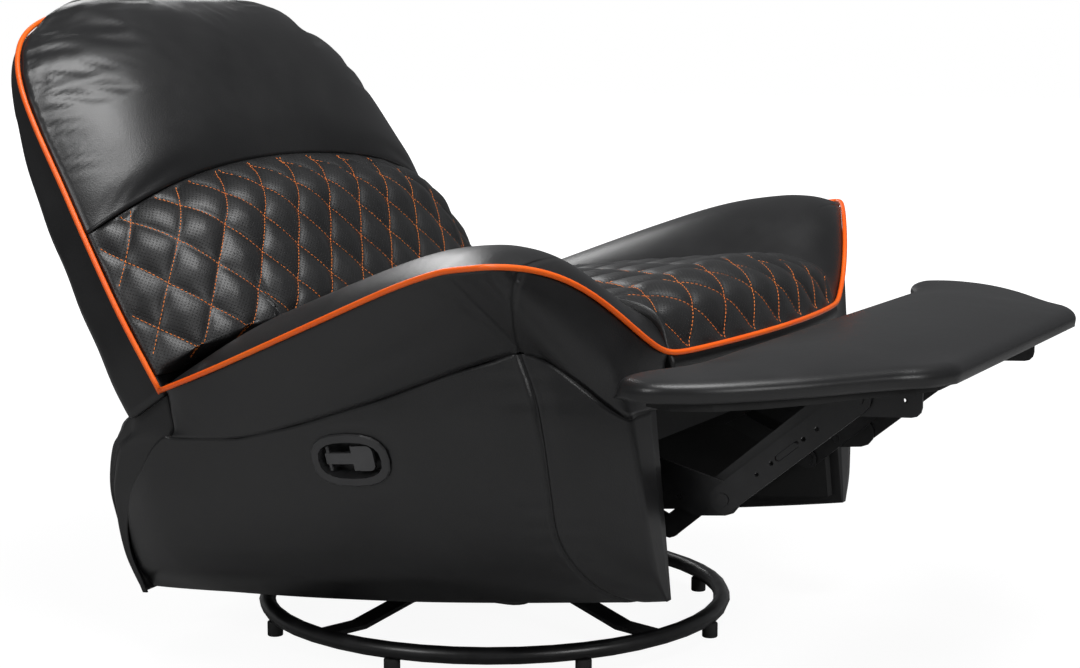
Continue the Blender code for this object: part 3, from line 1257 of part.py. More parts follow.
def release_handle(panel, plastic, parent):
    """The oval cup let into the side, and the paddle in it that is pulled to let the footrest out."""
    half_length, half_width = HANDLE_LENGTH / 2, HANDLE_WIDTH / 2
    shapes = ((HANDLE_LIP, -HANDLE_CUP), (HANDLE_LIP, GAP), (0.0, GAP), (0.0, HANDLE_PROUD / 2),
              (HANDLE_PROUD / 2, HANDLE_PROUD), (HANDLE_LIP + HANDLE_WALL, HANDLE_PROUD),
              (HANDLE_LIP + HANDLE_WALL, -HANDLE_CUP + HANDLE_WALL))
    verts, faces = [], []
    for inset, height in shapes:
        verts += [(u, v, height) for u, v in oval(half_length - inset, half_width - inset, HANDLE_SIDES)]
    count = HANDLE_SIDES
    for i in range(len(shapes) - 1):
        for k in range(count):
            n = (k + 1) % count
            faces.append((i * count + k, i * count + n, (i + 1) * count + n, (i + 1) * count + k))
    faces.append(tuple(range(count)))
    faces.append(tuple((len(shapes) - 1) * count + k for k in range(count)))
    finish("handle_cup", verts, faces, plastic, parent)
    hole = oval(half_length - HANDLE_LIP + GAP, half_width - HANDLE_LIP + GAP, HANDLE_SIDES)
    cutter = plate("handle_guide", hole, -HANDLE_CUP - GAP, CUT_OVERRUN, plastic, parent, place=in_xy)
    add_boolean(panel, as_guide(cutter), "DIFFERENCE")
    axle = empty("paddle_pivot", (-PADDLE_HINGE, 0.0, -PADDLE_DEPTH), parent=parent)
    reach = PADDLE_FRONT + PADDLE_HINGE
    neck = PADDLE_HINGE
    outline = [(-PADDLE_STEM_HALF / 2, -PADDLE_STEM_HALF), (neck, -PADDLE_STEM_HALF), (neck, -PADDLE_HALF)]
    tip = rounded(((neck, -PADDLE_HALF), (reach, -PADDLE_HALF), (reach, PADDLE_HALF), (neck, PADDLE_HALF)),
                  PADDLE_HALF / 2)
    blade = [p for p in tip if p[0] > neck + PADDLE_HALF / 4]
    outline += blade + [(neck, PADDLE_HALF), (neck, PADDLE_STEM_HALF), (-PADDLE_STEM_HALF / 2, PADDLE_STEM_HALF)]
    paddle = plate("release_paddle", outline, -PADDLE_THICKNESS / 2, PADDLE_THICKNESS / 2, plastic, axle,
                   place=in_xy)
    pin = turned("pin_guide", ((PADDLE_PIN, -PADDLE_PIN_HALF), (PADDLE_PIN, PADDLE_PIN_HALF)), 10, plastic,
                 axle, rotation=(math.pi / 2, 0.0, 0.0))
    add_boolean(paddle, as_guide(pin), "UNION")


def centre_on_ground(origin):
    """Stand the sofa so that its whole box is centred over the ground point."""
    bpy.context.view_layer.update()
    graph = bpy.context.evaluated_depsgraph_get()
    places = []
    for thing in bpy.context.scene.objects:
        if thing.type == "MESH" and not thing.hide_render:
            solid = thing.evaluated_get(graph)
            places += [(solid.matrix_world @ point.co).y for point in solid.data.vertices]
    middle = (min(places) + max(places)) / 2
    origin.location.y = -middle
    print("box centre lay at y %.5f m before the shift" % middle)


def main():
    clear_scene()
    leather = material("black_leather", (0.018, 0.018, 0.020), 0.42)
    orange = material("orange_piping", (0.95, 0.19, 0.01), 0.45)
    steel = material("black_steel", (0.022, 0.022, 0.024), 0.38, 0.55)
    bright = material("bright_steel", (0.55, 0.55, 0.56), 0.30, 1.0)
    spring = material("spring_steel", (0.10, 0.10, 0.11), 0.35, 0.9)
    rubber = material("black_rubber", (0.02, 0.02, 0.02), 0.75)
    wood = material("black_board", (0.020, 0.020, 0.020), 0.80)
    plastic = material("black_plastic", (0.015, 0.015, 0.016), 0.35)

    origin = empty("origin", (0.0, 0.0, 0.0))
    swivel_base(steel, rubber, origin)
    turntable = empty("turntable", (0.0, 0.0, 0.0), parent=origin)
    turning, plate_top = swivel_bearing(steel, bright, origin, turntable)
    rock = empty("rock_axis", (0.0, 0.0, ROCK_HEIGHT), (-ROCK_BACK, 0.0, 0.0), turntable)
    tub = empty("tub", (0.0, 0.0, -ROCK_HEIGHT), parent=rock)
    rocker(steel, bright, turntable, tub, turning, plate_top)
    rock_springs(spring, turntable, plate_top)

    tub_frame(wood, tub)
    seat_springs(spring, tub)
    panels = {}
    for side, word in ((-1, "near"), (1, "far")):
        side_board(side, word, wood, tub)
        panels[side] = side_panel(side, word, leather, tub)
        arm(side, word, leather, tub)
    seat_cushion(leather, tub)
    seat_piping(orange, tub)
    gusset(leather, tub)
    release_handle(panels[-1], plastic, handle_frame(tub))

    back = empty("recline_axis", (0.0, *HINGE), (-RECLINE, 0.0, 0.0), tub)
    back_frame(wood, back)
    back_shell(leather, back)
    head_pad(leather, back)
    lumbar_cushion(leather, back)
    back_piping(orange, back)
    back_hinges(steel, tub, back)

    links = Linkage()
    parents = {"tub": tub, "crank": pivot("crank_pivot", HEEL, tub), "long": pivot("knee_pivot", KNEE, tub),
               "control": pivot("control_pivot", links.elbow, tub), "stay": pivot("stay_pivot", links.anchor, tub)}
    toe = empty("toe_pivot", (0.0, *TOE), (PAD_DROOP, 0.0, 0.0), tub)
    offset = in_pad(TOE)
    pad = empty("pad_datum", (0.0, -offset[0], -offset[1]), parent=toe)
    for side, word in ((-1, "near"), (1, "far")):
        footrest_linkage(side, word, steel, links, parents)
        pad_bracket(side, word, steel, links, pad)
    torque_tube(steel, parents["crank"].parent.parent)
    footrest_pad(leather, wood, pad)
    centre_on_ground(origin)
    for name, turn in links.turns().items():
        print("%s turns %.4f degrees from open to closed" % (name, math.degrees(turn)))
    for name, point in (("heel", HEEL), ("knee", KNEE), ("toe", TOE), ("elbow", links.elbow),
                        ("anchor", links.anchor), ("hinge", HINGE)):
        world = tub.matrix_world @ Vector((0.0, *point)) + origin.location
        print("%s at y %.5f z %.5f" % (name, world.y, world.z))


main()
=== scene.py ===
"""Gaming sofa, dressed: stuffed leather forms, quilting and stitches, piping, steel, feet and studio.

Metres, +Z up, the sitter faces -Y. The tub's leather is laid out as the sofa stands level and the
back's in the back's own plane, and both are turned into place as they are made.
"""
import math

import bmesh
import bpy
import numpy as np
from mathutils import Matrix, Vector


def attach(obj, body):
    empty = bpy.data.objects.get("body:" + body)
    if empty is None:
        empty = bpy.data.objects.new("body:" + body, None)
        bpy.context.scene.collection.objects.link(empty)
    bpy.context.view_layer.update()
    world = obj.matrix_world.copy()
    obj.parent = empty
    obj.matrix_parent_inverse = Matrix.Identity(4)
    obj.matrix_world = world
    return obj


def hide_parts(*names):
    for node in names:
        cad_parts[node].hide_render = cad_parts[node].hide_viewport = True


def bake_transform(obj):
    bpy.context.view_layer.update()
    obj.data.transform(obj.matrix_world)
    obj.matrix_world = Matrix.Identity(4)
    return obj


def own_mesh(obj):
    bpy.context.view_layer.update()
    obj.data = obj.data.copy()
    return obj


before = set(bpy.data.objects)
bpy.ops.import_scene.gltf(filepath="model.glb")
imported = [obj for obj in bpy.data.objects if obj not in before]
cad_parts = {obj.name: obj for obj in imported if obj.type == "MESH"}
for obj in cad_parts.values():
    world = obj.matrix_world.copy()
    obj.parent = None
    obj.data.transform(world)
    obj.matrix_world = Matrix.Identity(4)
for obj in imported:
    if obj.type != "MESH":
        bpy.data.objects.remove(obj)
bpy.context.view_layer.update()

# How the sofa stands
SHIFT = 0.0797875
ROCK_BACK = math.radians(5.5)
ROCK_HEIGHT = 0.130
HINGE_Y = 0.217
HINGE_Z = 0.376
RECLINE = math.radians(27.5)
PAD_DROOP = math.radians(5.5)

# Places and sizes shared by the leather forms
GAP = 0.0003
SEAM_GAP = 0.0005
BOARD_X = 0.2803
PANEL_X = BOARD_X + 0.018 + GAP
TUB_FRONT = -0.400
TUB_REAR = 0.356
SEAM_PLACES = (-0.400, -0.385, -0.360, -0.330, -0.300, -0.215, -0.113, 0.010, 0.104, 0.205)
SEAM_HEIGHTS = (0.325, 0.340, 0.372, 0.402, 0.412, 0.392, 0.363, 0.334, 0.318, 0.320)
REAR_PLACES = (0.215, 0.239, 0.267, 0.303, 0.333, 0.349, 0.356)
REAR_HEIGHTS = (0.322, 0.306, 0.277, 0.244, 0.206, 0.176, 0.150)
SIDE_HEIGHTS = (0.088, 0.100, 0.130, 0.165, 0.200, 0.245, 0.335, 0.420)
SIDE_WIDTHS = (0.290, 0.318, 0.362, 0.385, 0.400, 0.415, 0.437, 0.443)
ARM_EDGE = ((0.440, 0.205, 0.381), (0.452, 0.130, 0.401), (0.470, 0.045, 0.427), (0.486, -0.040, 0.452),
            (0.502, -0.123, 0.478), (0.518, -0.205, 0.503), (0.534, -0.270, 0.516), (0.550, -0.333, 0.519))
ARM_FRONT = ((BOARD_X, -0.4165, 0.389), (0.311, -0.4105, 0.398), (0.351, -0.4040, 0.423),
             (0.395, -0.3930, 0.457), (0.434, -0.3800, 0.483), (0.473, -0.3660, 0.501),
             (0.515, -0.3500, 0.513), (0.550, -0.3330, 0.519))
INNER_PLACES = (-0.4165, -0.400, -0.369, -0.310, -0.217, -0.121, -0.050, 0.100, 0.205)
INNER_HEIGHTS = (0.389, 0.425, 0.446, 0.456, 0.461, 0.458, 0.448, 0.428, 0.398)
CREST_PLACES = (-0.420, -0.390, -0.330, -0.220, -0.060, 0.020, 0.106, 0.205)
CREST_HEIGHTS = (0.0, 0.022, 0.036, 0.048, 0.044, 0.039, 0.030, 0.012)
# The curved seam down the side panel, as places along the tub and heights
PANEL_SEAM = ((-0.300, 0.418), (-0.314, 0.348), (-0.311, 0.262), (-0.306, 0.190), (-0.318, 0.142),
              (-0.339, 0.108), (-0.372, 0.092))
ARM_WRAP = 0.065
ARM_LIFT = 0.0004
BACK_STATIONS = (-0.060, 0.110, 0.210, 0.300, 0.373, 0.428, 0.468, 0.500, 0.526, 0.547, 0.563, 0.573)
BACK_HALVES = (0.424, 0.424, 0.416, 0.406, 0.399, 0.390, 0.376, 0.355, 0.325, 0.280, 0.215, 0.130)
BACK_LOW = -0.060
BACK_TOP = 0.573
BACK_WIDEST = 0.424
HEAD_SEAM = 0.283
HEAD_LENGTH = 0.290
HEAD_CROWN = 0.078
LUMBAR_CROWN = 0.110
# How far the covers stand forward of the board at their edges
EDGE_DEPTH = 0.006
# The pocket in the shell for the hinge brackets, in the back's own plane
POCKET_SIZE = (0.5616, 0.150, 0.036)
POCKET_MIDDLE = (0.0, 0.055, -0.008)
# The lumbar cushion's ends lie over the arms from here on, and step up within this width
OVER_ARM = 0.256
OVER_ARM_STEP = 0.014
WELT_RADIUS = 0.0034
DECK_HEIGHT = 0.368
SEAT_FRONT = -0.447
SEAT_REAR = 0.092
SEAT_ROLL = 0.070
SEAT_EDGE = 0.388
SEAT_TOP = 0.455
# Width, height and depth of the quilting's diamonds
SEAT_DIAMOND = (0.0805, 0.106, 0.0050)
LUMBAR_DIAMOND = (0.0770, 0.098, 0.0062)
QUILT_SEAM = 0.0085
# The release handle: its middle, the way its cup faces and leans, and its opening's half sizes
HANDLE = np.array((-0.426, -0.055, 0.290))
HANDLE_OUT = np.array((-0.9714, 0.0, -0.2374))
HANDLE_UP = np.array((-0.2374, 0.0, 0.9714))
HANDLE_OPENING = np.array((0.0474, 0.0264))
HANDLE_SQUARENESS = 2.6
# The footrest pad's rear underside edge, along the tub and up
PAD_EDGE = (-0.4942, 0.3587)
PAD_LOW = 0.0103
PAD_HIGH = 0.034
PAD_INSET = 0.011
FOOT_HEIGHT = 0.0200
FOOT_RADIUS = 0.0105
WHOLE = slice(None)

# The camera, solved from the photograph's perspective
FOCAL_PIXELS = 2093.0
PHOTO_WIDTH = 1080.0
CAMERA_PITCH = 7.786
CAMERA_YAW = 27.657
CAMERA_PLACE = (-2.490, -1.3754, 0.7806)


# Laying out

def along(place, places, values):
    return float(np.interp(place, places, values))


def smooth_share(share):
    """A share held between 0 and 1 that leaves and arrives softly."""
    held = min(1.0, max(0.0, share))
    return held * held * (3.0 - 2.0 * held)


def smooth(share):
    """The same for a whole array."""
    held = np.clip(share, 0.0, 1.0)
    return held * held * (3.0 - 2.0 * held)


def blended(first, last, share):
    return first + (last - first) * share


def from_tub(point):
    """A place on the level tub, in the frame of the whole sofa."""
    x, y, z = point
    up = z - ROCK_HEIGHT
    return (x, SHIFT + y * math.cos(ROCK_BACK) + up * math.sin(ROCK_BACK),
            ROCK_HEIGHT + up * math.cos(ROCK_BACK) - y * math.sin(ROCK_BACK))


def from_back(point):
    """A place on the back: across, up along it, and forward of its piping."""
    x, s, forward = point
    return from_tub((x, HINGE_Y + s * math.sin(RECLINE) - forward * math.cos(RECLINE),
                     HINGE_Z + s * math.cos(RECLINE) + forward * math.sin(RECLINE)))


def laid(grid, place):
    return np.array([[place(p) for p in row] for row in grid])


def grids(rows, columns, places):
    """Two grids laid out together, a cover's outside and its base, from one place on each."""
    made = np.array([[places(row, column) for column in columns] for row in rows])
    return made[:, :, 0], made[:, :, 1]


def eased(points, steps):
    """Points along the first axis of an array, with a smooth curve of steps between each two."""
    ends = np.concatenate([2 * points[:1] - points[1:2], points, 2 * points[-1:] - points[-2:-1]])
    made = []
    for i in range(len(points) - 1):
        a, b, c, d = ends[i:i + 4]
        for k in range(steps):
            t = k / steps
            made.append(0.5 * (2 * b + (c - a) * t + (2 * a - 5 * b + 4 * c - d) * t * t
                               + (3 * b - a - 3 * c + d) * t ** 3))
    made.append(points[-1])
    return np.array(made)


def steps_along(path):
    """The way a path runs at each of its points."""
    run = np.roll(path, -1, axis=0) - np.roll(path, 1, axis=0)
    run[0], run[-1] = path[1] - path[0], path[-1] - path[-2]
    return run


def set_out(path, distance):
    """A path moved sideways in its first two axes, to the right of the way it runs."""
    step = steps_along(path)
    length = np.hypot(step[:, 0], step[:, 1])
    path[:, 0] += step[:, 1] / length * distance
    path[:, 1] -= step[:, 0] / length * distance
    return path


def fine(grid, steps):
    """A grid of points drawn finer both ways, smooth through its own points."""
    return np.swapaxes(eased(np.swapaxes(eased(np.array(grid), steps), 0, 1), steps), 0, 1)


def normals_of(grid):
    across = np.gradient(grid, axis=1)
    down = np.gradient(grid, axis=0)
    normal = np.cross(across, down)
    return normal / np.maximum(np.linalg.norm(normal, axis=2, keepdims=True), 1e-12)


def mesh_object(name, verts, faces, look):
    mesh = bpy.data.meshes.new(name)
    mesh.from_pydata([tuple(v) for v in verts], [], [tuple(f) for f in faces])
    work = bmesh.new()
    work.from_mesh(mesh)
    bmesh.ops.recalc_face_normals(work, faces=work.faces)
    work.to_mesh(mesh)
    work.free()
    mesh.shade_smooth()
    mesh.materials.append(look)
    made = bpy.data.objects.new(name, mesh)
    bpy.context.scene.collection.objects.link(made)
    return made


def walled(upper, lower):
    """Faces between two closed rings of points, given by their numbers."""
    count = len(upper)
    return [(upper[m], upper[(m + 1) % count], lower[(m + 1) % count], lower[m]) for m in range(count)]


def stuffed(name, top, base, look, walls=8, bulge=0.0, sheet=True, measure=None):
    """A cushion: a fine top, walls that bulge between it and its base, and the base itself."""
    rows, columns = top.shape[:2]
    verts = list(top.reshape(-1, 3))
    faces = [(i * columns + j, i * columns + j + 1, (i + 1) * columns + j + 1, (i + 1) * columns + j)
             for i in range(rows - 1) for j in range(columns - 1)]
    edge = [(0, j) for j in range(columns - 1)] + [(i, columns - 1) for i in range(rows - 1)]
    edge += [(rows - 1, j) for j in range(columns - 1, 0, -1)] + [(i, 0) for i in range(rows - 1, 0, -1)]
    last = [i * columns + j for i, j in edge]
    upper = np.array([top[i, j] for i, j in edge])
    lower = np.array([base[i, j] for i, j in edge])
    run = np.roll(upper, -1, axis=0) - np.roll(upper, 1, axis=0)
    out = np.cross(run, lower - upper)
    out /= np.maximum(np.linalg.norm(out, axis=1, keepdims=True), 1e-12)
    if np.sum(out * (upper - upper.mean(axis=0))) < 0.0:
        out = -out
    for k in range(1, walls):
        t = k / walls
        ring = upper * (1 - t) + lower * t + out * (bulge * 4 * t * (1 - t))
        start = len(verts)
        verts.extend(ring)
        here = list(range(start, start + len(edge)))
        faces += walled(last, here)
        last = here
    start = len(verts)
    if sheet:
        verts.extend(base.reshape(-1, 3))
        here = [start + i * columns + j for i, j in edge]
        faces += [(start + i * columns + j, start + i * columns + j + 1, start + (i + 1) * columns + j + 1,
                   start + (i + 1) * columns + j) for i in range(rows - 1) for j in range(columns - 1)]
    else:
        verts.extend(lower)
        here = list(range(start, start + len(edge)))
        faces.append(tuple(here))
    faces += walled(last, here)
    made = mesh_object(name, verts, faces, look)
    if measure is not None:
        chart = made.data.uv_layers.new(name="Surface")
        flat = np.zeros((len(verts), 2))
        flat[:rows * columns] = measure.reshape(-1, 2)
        index = np.zeros(len(made.data.loops), dtype=np.int64)
        made.data.loops.foreach_get("vertex_index", index)
        chart.data.foreach_set("uv", flat[index].reshape(-1))
    return made


def points_of(piece):
    flat = np.zeros(len(piece.data.vertices) * 3)
    piece.data.vertices.foreach_get("co", flat)
    return flat.reshape(-1, 3)


def put_points(piece, points):
    piece.data.vertices.foreach_set("co", np.ascontiguousarray(points).reshape(-1))
    piece.data.update()


def softened(piece, passes, keep=None):
    """Evens the surface out, and leaves held points where they are."""
    points = points_of(piece)
    pairs = np.zeros(len(piece.data.edges) * 2, dtype=np.int64)
    piece.data.edges.foreach_get("vertices", pairs)
    a, b = pairs.reshape(-1, 2).T
    count = np.bincount(a, minlength=len(points)) + np.bincount(b, minlength=len(points))
    share = np.ones(len(points)) * 0.5 if keep is None else 0.5 * (1.0 - keep)
    for _ in range(passes):
        total = np.zeros_like(points)
        np.add.at(total, a, points[b])
        np.add.at(total, b, points[a])
        points += (total / count[:, None] - points) * share[:, None]
    put_points(piece, points)


def carved(piece, path, width, depth, outward, chosen, axes=(1, 2), cuts=2):
    """Sinks a seam into a surface along a path; the mesh is first made finer beside it."""
    work = bmesh.new()
    work.from_mesh(piece.data)
    for _ in range(cuts):
        work.verts.ensure_lookup_table()
        points = np.array([v.co for v in work.verts])
        _, apart = near_line(points[:, axes], path, 1.0)
        marked = (apart < width * 3.5) & chosen(points)
        edges = {e for v in work.verts if marked[v.index] for e in v.link_edges}
        edges = [e for e in edges if e.calc_length() > width * 0.7]
        if edges:
            bmesh.ops.subdivide_edges(work, edges=edges, cuts=1, use_grid_fill=True, smooth=0.0)
        work.verts.index_update()
    points = np.array([v.co for v in work.verts])
    _, apart = near_line(points[:, axes], path, 1.0)
    share = np.exp(-(apart / width) ** 2) * chosen(points) * depth
    share -= np.exp(-((apart - 2.4 * width) / (1.6 * width)) ** 2) * chosen(points) * depth * 0.22
    for vert, sink in zip(work.verts, share):
        if abs(sink) > 1e-6:
            vert.co -= Vector(outward) * float(sink)
    work.to_mesh(piece.data)
    work.free()
    piece.data.update()


def cut_out(piece, cutter, crossing=False):
    """Takes a cutter's shape out of a piece, and then the cutter itself away."""
    cut = piece.modifiers.new("Hole", "BOOLEAN")
    cut.operation = "DIFFERENCE"
    cut.solver = "EXACT"
    cut.use_self = crossing
    cut.object = cutter
    bpy.context.view_layer.objects.active = piece
    bpy.ops.object.modifier_apply(modifier="Hole")
    bpy.data.objects.remove(cutter)


def held(piece, top, *edges):
    """How firmly each point of a cover is held: rows and columns of its top, each with its share."""
    index = np.arange(top.shape[0] * top.shape[1]).reshape(top.shape[:2])
    keep = np.zeros(len(piece.data.vertices))
    for rows, columns, share in edges:
        keep[index[rows, columns]] = share
    return keep


def plumped(piece, pinned, pressure=4.0, frames=16, cap=0.012):
    """Fills a cover as foam does: cloth under pressure, held where it is pinned."""
    before = points_of(piece)
    group = piece.vertex_groups.new(name="sewn")
    for weight in np.unique(np.round(pinned, 2)):
        if weight > 0.0:
            chosen = np.nonzero(np.round(pinned, 2) == weight)[0]
            group.add(chosen.tolist(), float(weight), "REPLACE")
    cloth = piece.modifiers.new("Cloth", "CLOTH")
    cloth.settings.quality = 4
    cloth.settings.mass = 0.25
    cloth.settings.tension_stiffness = 12.0
    cloth.settings.compression_stiffness = 12.0
    cloth.settings.shear_stiffness = 4.0
    cloth.settings.bending_stiffness = 0.4
    cloth.settings.use_pressure = True
    cloth.settings.uniform_pressure_force = pressure
    cloth.settings.vertex_group_mass = "sewn"
    cloth.settings.effector_weights.gravity = 0.0
    cloth.collision_settings.use_collision = False
    cloth.point_cache.frame_start = 1
    cloth.point_cache.frame_end = frames
    scene = bpy.context.scene
    for step in range(1, frames + 1):
        scene.frame_set(step)
    swollen = piece.evaluated_get(bpy.context.evaluated_depsgraph_get())
    flat = np.zeros(len(before) * 3)
    swollen.data.vertices.foreach_get("co", flat)
    move = flat.reshape(-1, 3) - before
    length = np.linalg.norm(move, axis=1, keepdims=True)
    move *= cap * np.tanh(length / cap) / np.maximum(length, 1e-9)
    piece.modifiers.remove(cloth)
    piece.vertex_groups.clear()
    scene.frame_set(1)
    put_points(piece, before + move)


def tube(name, path, radius, look, sides=12):
    """A round welt or wire along a path."""
    path = np.array(path)
    count = len(path)
    run = steps_along(path)
    run /= np.linalg.norm(run, axis=1, keepdims=True)
    side = np.cross((0.0, 0.0, 1.0), run[0])
    verts = []
    for p, t in zip(path, run):
        side = side - t * side.dot(t)
        side /= np.linalg.norm(side)
        up = np.cross(t, side)
        for k in range(sides):
            angle = 2 * math.pi * k / sides
            verts.append(p + side * (radius * math.cos(angle)) + up * (radius * math.sin(angle)))
    faces = []
    for a in range(0, (count - 1) * sides, sides):
        faces += walled(range(a, a + sides), range(a + sides, a + 2 * sides))
    faces += [tuple(range(sides)), tuple((count - 1) * sides + k for k in range(sides))]
    return mesh_object(name, verts, faces, look)


def stitches(name, lines, look, pitch=0.0058, length=0.0042, radius=0.0005, lift=0.0003):
    """Thread along lines of (points, normals): one short rounded stitch, copied all the way."""
    verts, faces = [], []
    template = [(-0.5, 0.25), (-0.3, 1.0), (0.3, 1.0), (0.5, 0.25)]
    sides = 5
    for points, normals in lines:
        steps = np.linalg.norm(np.diff(points, axis=0), axis=1)
        travel = np.concatenate([[0.0], np.cumsum(steps)])
        for place in np.arange(pitch / 2, travel[-1] - pitch / 2, pitch):
            at = np.array([np.interp(place, travel, points[:, k]) for k in range(3)])
            ahead = np.array([np.interp(place + length / 2, travel, points[:, k]) for k in range(3)])
            up = np.array([np.interp(place, travel, normals[:, k]) for k in range(3)])
            run = ahead - at
            size = np.linalg.norm(run)
            if size < 1e-6:
                continue
            run /= size
            up -= run * up.dot(run)
            up /= np.linalg.norm(up)
            side = np.cross(run, up)
            start = len(verts)
            for share, width in template:
                for k in range(sides):
                    angle = 2 * math.pi * k / sides
                    verts.append(at + run * (share * length) + up * lift
                                 + (side * math.cos(angle) + up * math.sin(angle)) * (radius * width))
            for a in range(start, start + (len(template) - 1) * sides, sides):
                faces += walled(range(a, a + sides), range(a + sides, a + 2 * sides))
            faces.append(tuple(start + k for k in range(sides)))
            faces.append(tuple(start + (len(template) - 1) * sides + k for k in range(sides)))
    return mesh_object(name, verts, faces, look)


# Finishes

def shader(name, colour, roughness, metallic=0.0, **sockets):
    made = bpy.data.materials.new(name)
    made.use_nodes = True
    tree = made.node_tree
    surface = tree.nodes["Principled BSDF"]
    surface.inputs["Base Color"].default_value = (*colour, 1.0)
    surface.inputs["Roughness"].default_value = roughness
    surface.inputs["Metallic"].default_value = metallic
    for socket, value in sockets.items():
        surface.inputs[socket.replace("_", " ")].default_value = value
    return made, tree, surface


def spot(tree, kind, **settings):
    node = tree.nodes.new(kind)
    for key, value in settings.items():
        if key in node.inputs.keys():
            node.inputs[key].default_value = value
        else:
            setattr(node, key, value)
    return node


def ramp(tree, source, low, high, first, last):
    node = tree.nodes.new("ShaderNodeMapRange")
    node.inputs["From Min"].default_value = low
    node.inputs["From Max"].default_value = high
    node.inputs["To Min"].default_value = first
    node.inputs["To Max"].default_value = last
    tree.links.new(source, node.inputs["Value"])
    return node.outputs["Result"]


def tinted(tree, surface, source, first, last):
    """Colours a surface from the first tint to the last as the source goes from 0 to 1."""
    mix = tree.nodes.new("ShaderNodeMix")
    mix.data_type = "RGBA"
    mix.inputs["A"].default_value = (*first, 1.0)
    mix.inputs["B"].default_value = (*last, 1.0)
    tree.links.new(source, mix.inputs["Factor"])
    tree.links.new(mix.outputs["Result"], surface.inputs["Base Color"])
    return mix


def bumped(tree, surface, source, strength, distance, under=None):
    bump = tree.nodes.new("ShaderNodeBump")
    bump.inputs["Strength"].default_value = strength
    bump.inputs["Distance"].default_value = distance
    tree.links.new(source, bump.inputs["Height"])
    if under is not None:
        tree.links.new(under.outputs["Normal"], bump.inputs["Normal"])
    tree.links.new(bump.outputs["Normal"], surface.inputs["Normal"])
    return bump


def over_piece(tree, *textures):
    """Lays textures out by a piece's own measures."""
    place = tree.nodes.new("ShaderNodeTexCoord").outputs["Object"]
    for node in textures:
        tree.links.new(place, node.inputs["Vector"])


def leather(name, colour, light, roughness, grain=620.0, perforated=False):
    """Coated leather: pebbled grain, soft creases, a slightly uneven sheen, and holes if asked, painted
    near-black inside as painted shade.
    """
    made, tree, surface = shader(name, colour, roughness, Coat_Weight=0.06, Coat_Roughness=0.35)
    cloudy = spot(tree, "ShaderNodeTexNoise", Scale=9.0, Detail=4.0, Roughness=0.55)
    pebble = spot(tree, "ShaderNodeTexVoronoi", Scale=grain, feature="SMOOTH_F1")
    crease = spot(tree, "ShaderNodeTexNoise", Scale=70.0, Detail=6.0, Roughness=0.62)
    over_piece(tree, cloudy, pebble, crease)
    mix = tinted(tree, surface, ramp(tree, cloudy.outputs["Fac"], 0.35, 0.68, 0.0, 1.0), colour, light)
    tree.links.new(ramp(tree, cloudy.outputs["Fac"], 0.3, 0.7, roughness - 0.05, roughness + 0.06),
                   surface.inputs["Roughness"])
    first = bumped(tree, surface, crease.outputs["Fac"], 0.10, 0.0012)
    second = bumped(tree, surface, pebble.outputs["Distance"], 0.30, 0.0004, first)
    if perforated:
        chart = tree.nodes.new("ShaderNodeUVMap")
        chart.uv_map = "Surface"
        holes = spot(tree, "ShaderNodeTexVoronoi", Scale=230.0, Randomness=0.0, voronoi_dimensions="2D")
        turn = spot(tree, "ShaderNodeMapping")
        turn.inputs["Rotation"].default_value = (0.0, 0.0, math.radians(45.0))
        tree.links.new(chart.outputs["UV"], turn.inputs["Vector"])
        tree.links.new(turn.outputs["Vector"], holes.inputs["Vector"])
        # Each hole is painted near-black, as painted shade inside it, and also sunk by a bump.
        dot = ramp(tree, holes.outputs["Distance"], 0.16, 0.24, 0.0, 1.0)
        hole_painted_shade = tinted(tree, surface, dot, (0.0015, 0.0015, 0.0015), light)
        tree.links.new(mix.outputs["Result"], hole_painted_shade.inputs["B"])
        bumped(tree, surface, dot, 0.8, 0.0010, second)
    return made


def metal(name, colour, roughness, metallic, speckle, **sockets):
    """Steel with a fine powder or brushed texture and slight wear in its sheen."""
    made, tree, surface = shader(name, colour, roughness, metallic, **sockets)
    powder = spot(tree, "ShaderNodeTexNoise", Scale=speckle, Detail=3.0, Roughness=0.6)
    worn = spot(tree, "ShaderNodeTexNoise", Scale=22.0, Detail=5.0, Roughness=0.6)
    over_piece(tree, powder, worn)
    lighter = tuple(min(1.0, c * 1.7 + 0.004) for c in colour)
    tinted(tree, surface, ramp(tree, worn.outputs["Fac"], 0.45, 0.75, 0.0, 1.0), colour, lighter)
    tree.links.new(ramp(tree, worn.outputs["Fac"], 0.3, 0.7, roughness - 0.06, roughness + 0.08),
                   surface.inputs["Roughness"])
    bumped(tree, surface, powder.outputs["Fac"], 0.18, 0.0004)
    return made


def plain(name, colour, roughness, scale, depth):
    """Moulded plastic, rubber or painted board: a fine mould texture over a flat tint."""
    made, tree, surface = shader(name, colour, roughness)
    mould = spot(tree, "ShaderNodeTexNoise", Scale=scale, Detail=4.0, Roughness=0.6)
    broad = spot(tree, "ShaderNodeTexNoise", Scale=14.0, Detail=3.0)
    over_piece(tree, mould, broad)
    lighter = tuple(min(1.0, c * 1.35 + 0.002) for c in colour)
    tinted(tree, surface, ramp(tree, broad.outputs["Fac"], 0.35, 0.7, 0.0, 1.0), colour, lighter)
    bumped(tree, surface, mould.outputs["Fac"], 0.25, depth)
    return made


